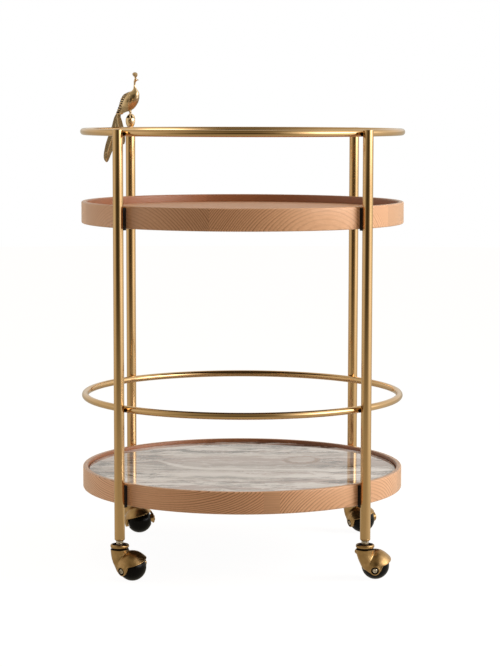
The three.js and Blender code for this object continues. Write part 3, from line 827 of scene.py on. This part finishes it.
def braze_bead(tube, ring):
    """The fillet of braze between a post and a rail, which run just inside its surface."""
    sunk = 0.06

    def field(x, y, z):
        post_wall = np.hypot(x - POST_CENTRE, y) - POST_RADIUS + sunk
        rail_wall = np.hypot(np.hypot(x, y) - ring, z) - tube + sunk
        near = np.sqrt((x - POST_CENTRE + POST_RADIUS) ** 2 + y ** 2 + z ** 2) - BRAZE_REACH
        joint = union(post_wall, rail_wall, BRAZE_BLEND)
        return overlap(np.maximum(joint, near), z - BRAZE_TOP, 1)

    contact = POST_CENTRE - POST_RADIUS
    span = BRAZE_REACH + 1
    return skin(field, (contact - span, -span, -span), (contact + span, span, span), COARSE_STEP)


def add_frame():
    for node in ("top_rail", "guard_rail"):
        add_piece(f"{node}_tube", rail(node), BRASS, [node])
        bead = braze_bead(half_size(node), high(node).x - half_size(node))
        for name in CORNERS:
            place = at(0, 0, middle(node).z, CORNER_ANGLE[name])
            add_piece(f"{node}_braze_{name}", bead, BRAZE, [], place, sharp=60)
    for name in CORNERS:
        node, plug = f"post_{name}", f"post_plug_{name}"
        place = at(*middle(node).xy, 0)
        add_piece(f"{node}_tube", post(*bottom_top(node)), BRASS, [node], place)
        shape = post_plug(low(plug).z, low(node).z, high(plug).z)
        add_piece(f"{plug}_turned", shape, BRASS, [plug], place)


# Casters. Their shapes are in the caster's own frame: the stem is on Z and the caster rolls to +X.

JOINTS = {joint["name"]: joint for joint in frame["record"]["behaviour"]["joints"]}


def caster_place(name):
    """The matrix of a caster's frame, and its ball's centre in that frame."""
    stem = Vector(JOINTS[f"swivel_{name}"]["pos_m"]) / MM
    ball = Vector(JOINTS[f"roll_{name}"]["pos_m"]) / MM
    axle = Vector(JOINTS[f"roll_{name}"]["axis"])
    swivel = atan2(axle.y, axle.x) + pi / 2
    place = at(stem.x, stem.y, 0, swivel)
    return place, place.inverted() @ (ball * MM) / MM


BALL_CENTRE = caster_place("front_left")[1]
BALL_RADIUS = BALL_CENTRE.z
HOOD_INNER_RADIUS = BALL_RADIUS + HOOD_CLEARANCE
HOOD_RADIUS = HOOD_INNER_RADIUS + HOOD_WALL
NECK_TOP = JOINTS["swivel_front_left"]["pos_m"][2] / MM
BALL_FLAT = sqrt(BALL_RADIUS ** 2 - BALL_FLAT_RADIUS ** 2)
BOSS_FACE = BALL_FLAT + RUNNING_GAP
AXLE_SEAT = BOSS_FACE + BOSS_WEB
AXLE_FRAME = Matrix.Translation(BALL_CENTRE * MM) @ Matrix.Rotation(pi / 2 + AXLE_TILT, 4, "X")

# Side views of the skirt at the bolt's head and of the lobe at its far end, from the ball's
# centre, as shares of the hood's radius
SKIRT = [
    (0.5, 0.5), (-0.93, 0.5), (-0.8, 0.08), (-0.69, -0.03), (-0.42, -0.24), (-0.2, -0.34),
    (0.02, -0.35), (0.2, -0.32), (0.35, -0.2), (0.41, -0.06), (0.49, 0.18),
]
LOBE = [
    (0.1, 0.6), (-0.34, 0.6), (-0.3, 0.12), (-0.25, -0.06), (-0.15, -0.19), (-0.05, -0.22),
    (0.03, -0.19), (0.07, -0.06), (0.08, 0.12),
]

# The neck from the bottom up: height as a share of that between ball centre and neck top,
# offsets towards the ball and the bolt's head in millimetres, radius as a share of the neck's
NECK = [
    (-0.14, 6.6, -2.4, 0.64), (0.05, 4.2, -2.4, 0.79), (0.265, 3, -2.4, 0.96),
    (0.48, 1.3, -2, 1.05), (0.69, 0.2, -1, 1.13), (0.85, 0, -0.1, 1.2), (0.92, 0, 0, 1.23),
    (1, 0, 0, 1.24),
]


def about_ball(x, y, z):
    """Offsets from the ball's centre, the way along the axle and the distance from it."""
    dx, dy, dz = x - BALL_CENTRE.x, y - BALL_CENTRE.y, z - BALL_CENTRE.z
    along = -dy * cos(AXLE_TILT) - dz * sin(AXLE_TILT)
    across = dz * cos(AXLE_TILT) - dy * sin(AXLE_TILT)
    return dx, dy, dz, along, np.hypot(dx, across)


def hood_field(x, y, z):
    dx, dy, dz, along, radial = about_ball(x, y, z)
    side = 0.25 * HOOD_RADIUS
    visor = (VISOR_RISE + VISOR_SLOPE[0] * dx + VISOR_SLOPE[1] * dy - dz) / hypot(1, *VISOR_SLOPE)
    skirt = overlap(outline_field(dx, dz, scaled(SKIRT, HOOD_RADIUS)), dy + side, 2)
    lobe = overlap(outline_field(dx, dz, scaled(LOBE, HOOD_RADIUS)), side - dy, 2)
    cover = union(union(visor, skirt, 3.5), lobe, 3.5)
    reach = np.sqrt(dx ** 2 + dy ** 2 + dz ** 2)
    lip = 0.35 * ramp_up(cover, -2.4, -1.4) + VISOR_FLARE * ramp_up(dx, 8, 22) * ramp_up(cover, -9, 0)
    dome = reach - HOOD_RADIUS - lip
    shell = overlap(dome, cover, 1.2)

    height = NECK_TOP - BALL_CENTRE.z
    table = [
        (BALL_CENTRE.z + rise * height, forward, across, share * NECK_RADIUS, share * NECK_RADIUS)
        for rise, forward, across, share in NECK
    ]
    neck = loft_field(x, y, z, table)
    lug_height = NECK_TOP - LUG_RADIUS - SEAT_GAP
    lug = limb_field(x, y, z, (-NECK_RADIUS / 2, 0, lug_height), (LUG_RADIUS - LUG_REACH, 0, lug_height),
                     LUG_RADIUS, LUG_RADIUS)
    neck = union(neck, lug, 2)
    body = union(shell, neck, 2.2)
    body = carve(body, reach - HOOD_INNER_RADIUS, 0.6)

    near_boss = np.maximum(np.maximum(radial - NEAR_BOSS_RADIUS, BOSS_FACE - along), dome)
    far_end = HOOD_RADIUS + FAR_BOSS_PROUD
    far_boss = overlap(radial - FAR_BOSS_RADIUS, np.maximum(BOSS_FACE + along, -along - far_end), 1.2)
    far_web = np.maximum(np.maximum(radial - FAR_WEB_RADIUS, BOSS_FACE + along), dome)
    body = union(union(body, near_boss, 1), union(far_boss, far_web, 1), 2.5)
    body = carve(body, np.maximum(radial - AXLE_RECESS_RADIUS, AXLE_SEAT - along), 0.6)
    body = carve(body, np.maximum(radial - AXLE_RADIUS - SEAT_GAP, -along - HOOD_RADIUS), 0.3)
    return carve(body, np.maximum(np.hypot(x, y) - STEM_BORE, BALL_CENTRE.z - z), 0.4)


def hood_shade(x, y, z):
    """Painted shade in the recess round the bolt's head and under the cup."""
    along, radial = about_ball(x, y, z)[3:]
    recess = ramp_up(-radial, -AXLE_RECESS_RADIUS - 0.7, -AXLE_RECESS_RADIUS) * (along > 0)
    return np.maximum(recess, ramp_up(z, NECK_TOP - 0.9, NECK_TOP - 0.2))


def hood():
    reach = HOOD_RADIUS + VISOR_FLARE + 3
    lowest = (min(BALL_CENTRE.x - reach, -LUG_REACH - 2), BALL_CENTRE.y - reach, BALL_CENTRE.z - 0.45 * reach)
    highest = (BALL_CENTRE.x + reach, BALL_CENTRE.y + reach, NECK_TOP + 2)
    return skin(hood_field, lowest, highest, COARSE_STEP, hood_shade)


def ball():
    bore = AXLE_RADIUS + SEAT_GAP
    edge = degrees(asin(BALL_FLAT / BALL_RADIUS))
    profile = [(bore, -BALL_FLAT), *arc(0, 0, BALL_RADIUS, -edge, edge, 48), (bore, BALL_FLAT)]
    return turned(profile, 96, closed=True)


def axle():
    """The axle bolt, with a domed head and a hexagonal socket."""
    seat = AXLE_SEAT + SEAT_GAP
    top = seat + AXLE_HEAD_HEIGHT
    far = -HOOD_RADIUS + SEAT_GAP
    socket = 0.47 * AXLE_HEAD_RADIUS
    return turned([
        (0, far), (AXLE_RADIUS - 0.5, far), (AXLE_RADIUS, far + 0.5), (AXLE_RADIUS, seat),
        (AXLE_HEAD_RADIUS - 0.3, seat), (AXLE_HEAD_RADIUS, seat + 0.3),
        *arc(AXLE_HEAD_RADIUS - 1.8, top - 1.8, 1.8, 0, 80, 8),
        (1.3 * socket, top), (1.08 * socket, top, 6), (socket, top - 0.25, 6), (socket, top - 2, 6),
        (0, top - 2.8),
    ], 96)


def nut(bottom, height):
    """A hexagonal nut's profile from the outside: its corners are chamfered at both ends."""
    flat = NUT_ACROSS_FLATS / 2
    corner = flat / cos(pi / 6)
    rise = (corner - flat) * tan(radians(30)) + 0.15
    levels = np.linspace(0, 1, 5)
    lower = [(flat, bottom + t * rise, 6, flat - 0.1 + t * (corner - flat + 0.1)) for t in levels]
    upper = [(r, 2 * bottom + height - h, n, limit) for r, h, n, limit in reversed(lower)]
    return lower + upper


def stem(bottom, top, nuts_bottom, nuts_top):
    """The threaded stem with its two lock nuts."""
    height = (nuts_top - nuts_bottom - NUT_GAP) / 2
    radius = STEM_RADIUS
    profile = [(0, bottom), (radius - 0.6, bottom), (radius, bottom + 0.6), (radius, nuts_bottom)]
    profile += nut(nuts_bottom, height)
    profile += [(radius, nuts_bottom + height), (radius, nuts_bottom + height + NUT_GAP)]
    profile += nut(nuts_top - height, height)
    profile += [(radius, nuts_top), (radius, top - 0.6), (radius - 0.6, top), (0, top)]
    return turned(profile, 96)


def cup(bottom, top, outer):
    ring_bottom = bottom + CUP_LIFT
    round_radius = CUP_RING_WIDTH / 2
    recess = ring_bottom + CUP_FLOOR
    profile = [
        (STEM_BORE, bottom), (CUP_SPIGOT_RADIUS, bottom), (CUP_SPIGOT_RADIUS, ring_bottom),
        *arc(outer - round_radius, ring_bottom + round_radius, round_radius, -90, 0, 10),
        *arc(outer - round_radius, top - round_radius, round_radius, 0, 180, 20),
        (outer - CUP_RING_WIDTH, recess), (STEM_BORE, recess),
    ]
    points, faces = turned(profile, 120, closed=True)
    inside = outer - 0.8 * CUP_RING_WIDTH
    # Painted shade under the cup's ring and inside the cup
    painted_shade = [float(z < ring_bottom + 0.4 or hypot(x, y) < inside) for x, y, z in points]
    return points, faces, painted_shade


def seal(bottom, top, outer):
    groove = (STEM_BORE + outer) / 2
    profile = filleted([
        (STEM_BORE, bottom, 0), (outer, bottom, 0), (outer - 0.8, top, 0.4), (groove + 1, top, 0.2),
        (groove, top - 0.6, 0.3), (groove - 1, top, 0.2), (STEM_BORE, top, 0.3),
    ], 4)
    return turned(profile, 96, closed=True)


def add_casters():
    first = CORNERS[0]
    cup_node, seal_node, stem_node = (f"caster_{part}_{first}" for part in ("cup", "seal", "stem"))
    nuts = high(seal_node).z + SEAT_GAP, low(f"post_plug_{first}").z - SEAT_GAP
    parts = {
        "hood": (hood(), BRONZE, "caster"),
        "axle": (axle(), STEEL, "caster"),
        "ball": (ball(), BALL_BLACK, "ball"),
        "stem": (stem(*bottom_top(stem_node), *nuts), STEEL, "cart"),
        "cup": (cup(*bottom_top(cup_node), half_size(cup_node, "x")), BRONZE, "cart"),
        "seal": (seal(*bottom_top(seal_node), half_size(seal_node, "x")), RUBBER, "cart"),
    }
    for part, (shape, look, body) in parts.items():
        for name in CORNERS:
            place = caster_place(name)[0]
            if part in ("axle", "ball"):
                place = place @ AXLE_FRAME
            node = f"caster_{part}_{name}"
            owner = body if body == "cart" else f"{body}_{name}"
            sharp = 45 if part == "hood" else 32
            # The first caster's mesh serves all four
            shape = add_piece(f"{node}_fine", shape, look, [node], place, owner, sharp).data


# The finial. The bird's shapes are in its own frame: its perch is at the origin and it faces +X.

BIRD_FRAME = at(*middle("finial_ball").xy, high("finial_ball").z, BIRD_TURN)

# From the tail's root up: height, back and breast as shares of the bird's height, and half
# width as a share of its width
BIRD = [
    (0, -0.37, -0.215, 0.14), (0.05, -0.35, -0.15, 0.2), (0.09, -0.33, 0, 0.28),
    (0.14, -0.31, 0.09, 0.36), (0.21, -0.28, 0.15, 0.45), (0.29, -0.255, 0.2, 0.5),
    (0.38, -0.225, 0.226, 0.5), (0.47, -0.165, 0.228, 0.46), (0.51, -0.1, 0.222, 0.38),
    (0.536, -0.02, 0.213, 0.3), (0.56, 0.045, 0.2, 0.23), (0.6, 0.075, 0.172, 0.15),
    (0.64, 0.085, 0.145, 0.1), (0.7, 0.092, 0.132, 0.085), (0.76, 0.092, 0.142, 0.09),
]
WING = [
    (0.03, 0.52), (-0.03, 0.47), (-0.09, 0.39), (-0.14, 0.3), (-0.175, 0.21), (-0.2, 0.14),
    (-0.16, 0.08), (-0.05, 0.075), (0.005, 0.11), (0.015, 0.22), (0.025, 0.35), (0.05, 0.46),
]
MANTLE = [
    (0.03, 0.6), (0, 0.53), (-0.07, 0.41), (-0.125, 0.31), (-0.165, 0.21), (-0.19, 0.14),
    (-0.24, 0.06), (-0.3, -0.04), (-0.5, -0.04), (-0.5, 0.6),
]
CREST = [
    (0.118, 0.84), (0.142, 0.84), (0.155, 0.875), (0.182, 0.905), (0.193, 0.94), (0.185, 0.972),
    (0.158, 0.993), (0.12, 1), (0.082, 0.992), (0.058, 0.968), (0.056, 0.94), (0.08, 0.915), (0.112, 0.88),
]
LONG_TRAIN = [
    (-0.24, 0.03), (-0.36, 0.03), (-0.41, -0.05), (-0.445, -0.155), (-0.475, -0.275), (-0.53, -0.4),
    (-0.585, -0.544), (-0.65, -0.725), (-0.71, -1.02), (-0.64, -1.14), (-0.58, -1.12),
    (-0.52, -0.97), (-0.44, -0.8), (-0.36, -0.6), (-0.3, -0.45), (-0.265, -0.275), (-0.255, -0.1),
]
SHORT_TRAIN = [
    (-0.25, -0.04), (-0.36, -0.1), (-0.36, -0.3), (-0.31, -0.52), (-0.26, -0.64), (-0.21, -0.7),
    (-0.15, -0.71), (-0.12, -0.63), (-0.125, -0.45), (-0.17, -0.25), (-0.22, -0.08),
]


def on_bird(forward, side, up):
    """A spot on the bird, whose way forward and height are shares of its height."""
    return forward * BIRD_HEIGHT, side, up * BIRD_HEIGHT


def scales(u, v):
    """The height of overlapping scales, from nought at a scale's root to one at its edge."""
    def edge(row):
        across = (v + 0.5 * row) % 1
        return row + 0.55 * (2 * across - 1) ** 2

    row = np.floor(u)
    row = np.where(u < edge(row), row - 1, row)
    start, end = edge(row), edge(row + 1)
    return 1 - (u - start) / np.maximum(end - start, 0.05)


def plumage(x, y, z):
    """How far the back's scales stand up, from nought to one, and where they are."""
    around = np.arctan2(y, -(x + 0.02 * BIRD_HEIGHT)) * 0.5 * BIRD_WIDTH
    ragged = 1.4 * np.abs((z / SCALE_HEIGHT) % 1 - 0.5)
    mantle = outline_field(x, z, scaled(MANTLE, BIRD_HEIGHT)) + ragged
    return scales(z / SCALE_HEIGHT, around / SCALE_WIDTH), ramp_up(-mantle, -0.2, 0.4)


def bird_shade(x, y, z):
    """Darker at the scales' roots, and painted shade on the lower belly."""
    height, where = plumage(x, y, z)
    scaly = where * (0.06 + 0.6 * ramp_up(-height, -0.8, -0.35))
    # Painted shade: darker towards the bottom of the belly
    painted_belly_shade = 0.3 * ramp_up(-z / BIRD_HEIGHT, -0.32, -0.14) * (z > 4)
    return np.maximum(scaly, painted_belly_shade)


# How far a toe's joints lie from the foot and above the egg's top
EGG_REACH = [(2.6, -0.1), (4.8, -1.6), (6.8, -3.9), (7.9, -6.6)]


def bird_field(x, y, z):
    tall = BIRD_HEIGHT
    table = [
        (rise * tall, (back + breast) / 2 * tall, 0, (breast - back) / 2 * tall, width * BIRD_WIDTH)
        for rise, back, breast, width in BIRD
    ]
    body = loft_field(x, y, z, table)
    height, where = plumage(x, y, z)
    wing = outline_field(x, z, scaled(WING, BIRD_HEIGHT))
    body = body - 0.7 * height * where - 0.75 * ramp_up(-wing, -0.4, 0.8)
    head = limb_field(x, y, z, on_bird(0.12, 0, 0.785), on_bird(0.142, 0, 0.82), 2.4, 3.2)
    body = union(body, head, 1.8)
    beak = limb_field(x, y, z, on_bird(0.165, 0, 0.82), on_bird(0.222, 0, 0.812), 1.5, 0.35)
    body = union(body, beak, 1)
    eye = np.sqrt((x - 0.153 * tall) ** 2 + (np.abs(y) - 2.8) ** 2 + (z - 0.827 * tall) ** 2)
    body = union(carve(body, eye - 1.1, 0.3), eye - 0.7, 0.1)
    for side in (-1, 1):
        foot = (0.5, 2.4 * side, 0.4)
        thigh = limb_field(x, y, z, on_bird(-0.03, 3 * side, 0.14), on_bird(0, 2.6 * side, 0.07), 3.2, 1.6)
        shank = limb_field(x, y, z, on_bird(0, 2.6 * side, 0.08), foot, 1.5, 1.2)
        body = union(union(body, thigh, 1.5), shank, 0.8)
        for turn in (-55, -5, 45, 180):
            spread = radians(turn) + 0.25 * side
            reach = EGG_REACH[:3] if turn == 180 else EGG_REACH
            toe = [
                (foot[0] + out * cos(spread), foot[1] + out * sin(spread), drop) for out, drop in reach
            ]
            for start, end, wide in zip([foot, *toe], toe, (1.5, 1.35, 1.2, 1)):
                body = union(body, limb_field(x, y, z, start, end, wide, wide - 0.15), 0.3)
    return body


def crest_grooves(x, z):
    angle = np.arctan2(x - 0.13 * BIRD_HEIGHT, z - 0.82 * BIRD_HEIGHT)
    return np.cos(angle * 30) * ramp_up(z / BIRD_HEIGHT, 0.88, 0.93)


def crest_field(x, y, z):
    plate = outline_field(x, z, scaled(CREST, BIRD_HEIGHT))
    bulge = 0.7 * ramp_up(-plate, 0, 4)
    return overlap(plate, np.abs(y) - 0.6 - bulge - 0.3 * crest_grooves(x, z), 0.5)


def crest_shade(x, y, z):
    return 0.2 * ramp_up(-crest_grooves(x, z), 0.4, 0.9)


def feather_relief(x, z, spine):
    """How far a feather's barbs, spine and ringed eye stand up from it, and how dark they are."""
    heights = [point[1] for point in spine][::-1]
    across = x - np.interp(z, heights, [point[0] for point in spine][::-1])
    barbs = 0.5 + 0.5 * np.cos((z - 0.9 * np.abs(across)) * 2.4)
    rib = np.exp(-(across / 0.9) ** 2)
    tip_x, tip_z = spine[-1]
    eye = np.hypot((x - tip_x) / 0.8, (z - tip_z - 9) / 1.6)
    ring = np.exp(-((eye - 3.6) / 0.6) ** 2) + np.exp(-(eye / 1.4) ** 2)
    plain = eye > 4
    rise = (0.35 * barbs + 0.7 * rib) * plain + 0.6 * ring
    return rise, 0.06 + 0.38 * ramp_up(-rise, -0.45, -0.1)


def feather(outline, spine, thickness, centre, lowest, highest):
    """A flat feather with raised relief on both faces."""
    line = scaled(outline, BIRD_HEIGHT)
    spine = [(u * BIRD_HEIGHT, v * BIRD_HEIGHT) for u, v in spine]

    def field(x, y, z):
        rise = 0.5 * thickness - 0.7 + feather_relief(x, z, spine)[0]
        return overlap(outline_field(x, z, line), np.abs(y - centre) - rise, 0.5)

    def shade(x, y, z):
        return feather_relief(x, z, spine)[1]

    box = [on_bird(u, centre + side, v) for (u, v), side in ((lowest, -2.5), (highest, 2.5))]
    return skin(field, *box, FINE_STEP, shade)


def add_finial():
    node = "finial_ball"
    rise, centre = half_size(node), middle(node).z
    foot = acos(EGG_FOOT_RADIUS / POST_RADIUS)
    egg = [(0, low(node).z)]
    for angle in np.linspace(-foot, pi / 2, 40):
        share = sin(angle) / (sin(foot) if angle < 0 else 1)
        egg.append((POST_RADIUS * cos(angle), centre + share * rise))
    points, faces = turned(egg, 96)
    # Painted shade: the egg darker towards its top, where the bird's toes grip it
    painted_shade = [0.7 * float(ramp_up(spot[2], centre + 0.3 * rise, centre + 0.6 * rise)) for spot in points]
    add_piece("finial_egg", (points, faces, painted_shade), BIRD_BRASS, [node], at(*middle(node).xy, 0))

    long_spine = [(-0.3, 0.05), (-0.34, -0.1), (-0.38, -0.3), (-0.46, -0.55), (-0.55, -0.8), (-0.62, -1.08)]
    short_spine = [(-0.3, -0.02), (-0.29, -0.2), (-0.26, -0.4), (-0.21, -0.64)]
    lowest = -0.4 * BIRD_HEIGHT, -14, -9
    pieces = {
        "body": skin(bird_field, lowest, on_bird(0.26, 14, 0.89), FINE_STEP, bird_shade),
        "crest": skin(crest_field, on_bird(0, -3, 0.81), on_bird(0.21, 3, 1.02), FINEST_STEP, crest_shade),
        "train_long": feather(LONG_TRAIN, long_spine, 3, 0, (-0.74, -1.18), (-0.2, 0.06)),
        "train_short": feather(SHORT_TRAIN, short_spine, 3, -3.3, (-0.4, -0.72), (-0.1, 0)),
    }
    for name, shape in pieces.items():
        node = f"peacock_{name}"
        add_piece(f"{node}_cast", shape, BIRD_BRASS, [node], BIRD_FRAME, sharp=60)


# Studio

SENSOR_WIDTH = 36
FOCAL_PIXELS = 2083.78
LONG_SIDE_PIXELS = 667


def add_camera():
    camera = add_object("Camera", bpy.data.cameras.new("Camera"))
    camera.data.sensor_width = SENSOR_WIDTH
    camera.data.lens = SENSOR_WIDTH * FOCAL_PIXELS / LONG_SIDE_PIXELS
    camera.location = (-0.0111, -3.957, 0.859)
    camera.rotation_euler = [radians(a) for a in (83.792, -0.0994, -0.3592)]
    bpy.context.scene.camera = camera


def add_light(name, turn, rise, distance, size, level):
    """A soft light on the object, from angles to the right of the camera and above it. Its level
    is how bright it makes a white card that faces it. Metal reflects the world alone."""
    data = bpy.data.lights.new(name, "AREA")
    data.shape = "RECTANGLE"
    data.size, data.size_y = size
    data.energy = level * (pi * distance) ** 2
    lamp = add_object(name, data)
    turn, rise = radians(turn), radians(rise)
    way = Vector((sin(turn) * cos(rise), -cos(turn) * cos(rise), sin(rise)))
    lamp.location = Vector((0, 0, 0.45)) + way * distance
    lamp.rotation_euler = way.to_track_quat("Z", "Y").to_euler()
    lamp.visible_glossy = False


def tinted(tone):
    """A grey of the studio as a share of its brightest, warmer where it is dark."""
    light = min(tone, 1)
    tone /= STUDIO_PEAK
    return tone, tone * (0.86 + 0.14 * light), tone * (0.52 + 0.48 * light)


# What metal reflects, by the angle in degrees to the right of the camera: the horizon, the low
# softboxes, the room above them and the floor close to the object. The floor fades to the horizon
# with its distance in metres.
HORIZON = [
    (-180, 0.55), (-122, 0.6), (-84, 0.78), (-64, 0.62), (-48, 0.27), (-36, 0.07), (-8, 0.05),
    (8, 0.065), (20, 0.12), (32, 0.33), (44, 0.86), (56, 1.3), (76, 1.35), (98, 0.95), (130, 0.68),
    (157, 0.56), (180, 0.55),
]
SOFTBOXES = [
    (-180, 0.78), (-120, 0.7), (-84, 0.78), (-60, 0.6), (-46, 0.45), (-30, 0.26), (-10, 0.1), (12, 0.07),
    (24, 0.22), (34, 0.9), (46, 2.4), (56, 5.5), (80, 5.5), (96, 2), (120, 0.95), (180, 0.78),
]
ABOVE = [
    (-180, 0.62), (-120, 0.55), (-70, 0.48), (-40, 0.34), (-18, 0.27), (0, 0.26), (14, 0.28), (28, 0.35),
    (40, 0.6), (58, 1), (80, 1.3), (105, 0.9), (140, 0.68), (180, 0.62),
]
GROUND = [
    (-180, 0.45), (-122, 0.5), (-84, 0.55), (-50, 0.47), (-30, 0.42), (20, 0.42), (50, 0.58),
    (76, 0.76), (110, 0.66), (150, 0.48), (180, 0.45),
]
FADE = [(0.8, 0), (2, 0.36), (3, 0.6), (4, 0.73), (6, 0.87), (9, 1)]
OVERHEAD = 0.13
STUDIO_PEAK = 5.5
AMBIENT = 0.42


def all_round(s, x, y, tones):
    """The studio's tone by the angle to the right of the camera."""
    turn = s.math("ARCTAN2", x, y * -1) * (0.5 / pi) + 0.5
    return s.ramp(turn, [(angle / 360 + 0.5, tinted(tone)) for angle, tone in tones])


def add_floor():
    """A pale floor with a soft shadow. Metal sees it darken towards the camera."""
    s = Surface("studio_floor", roughness=0.9, specular=0)
    s.put(s.shader.inputs["Base Color"], (0.6, 0.53, 0.46))
    x, y, _ = s.split(s.place())
    farthest = FADE[-1][0]
    far = s.ramp(s.length(x, y) / farthest, [(reach / farthest, (share,) * 3) for reach, share in FADE])
    glow = s.shine(s.mix(far, all_round(s, x, y, GROUND), all_round(s, x, y, HORIZON)), STUDIO_PEAK)
    pale = s.blend(0.8, s.shader.outputs[0], s.shine((1, 1, 1), 1.195))
    s.put(s.output.inputs["Surface"], s.by_ray(pale, glow, s.shader.outputs[0]))
    shape = turned([(0, 0), (400, 0), (1200, 0), (4000, 0), (9000, 0)], 64)
    floor = add_object("studio_floor", make_mesh("studio_floor", shape, s.material))


def add_world():
    """White to the camera, a plain low light all round on the object, and the studio to metal."""
    world = bpy.data.worlds.new("studio")
    world.use_nodes = True
    bpy.context.scene.world = world
    s = Graph(world.node_tree)
    x, y, z = s.split(s.place("Generated"))
    studio = s.mix(s.levels(z, 0.05, 0.13), all_round(s, x, y, HORIZON), all_round(s, x, y, SOFTBOXES))
    studio = s.mix(s.levels(z, 0.38, 0.62), studio, all_round(s, x, y, ABOVE))
    studio = s.mix(s.levels(z, 0.84, 0.95), studio, tinted(OVERHEAD))
    skies = ((1, 1, 1), 1), (studio, STUDIO_PEAK), ((1, 0.8, 0.63), AMBIENT)
    s.add("ShaderNodeOutputWorld", s.by_ray(*(s.shine(*sky, "ShaderNodeBackground") for sky in skies)))


add_camera()
add_tray("upper", UPPER_WOOD)
add_tray("lower", LOWER_WOOD)
add_piece("marble_top", disc("marble_slab", MARBLE_EDGE_ROUND, MARBLE_GAP), MARBLE, ["marble_slab"])
add_frame()
add_casters()
add_finial()
add_floor()
add_world()
add_light("key", 80, 14, 2.7, (1.3, 1.8), 1.1)
add_light("fill", -100, -4, 2.7, (1.2, 0.5), 0.38)
add_light("top", 10, 80, 2.7, (1.6, 1.6), 0.22)

bpy.context.scene.view_settings.view_transform = "Standard"
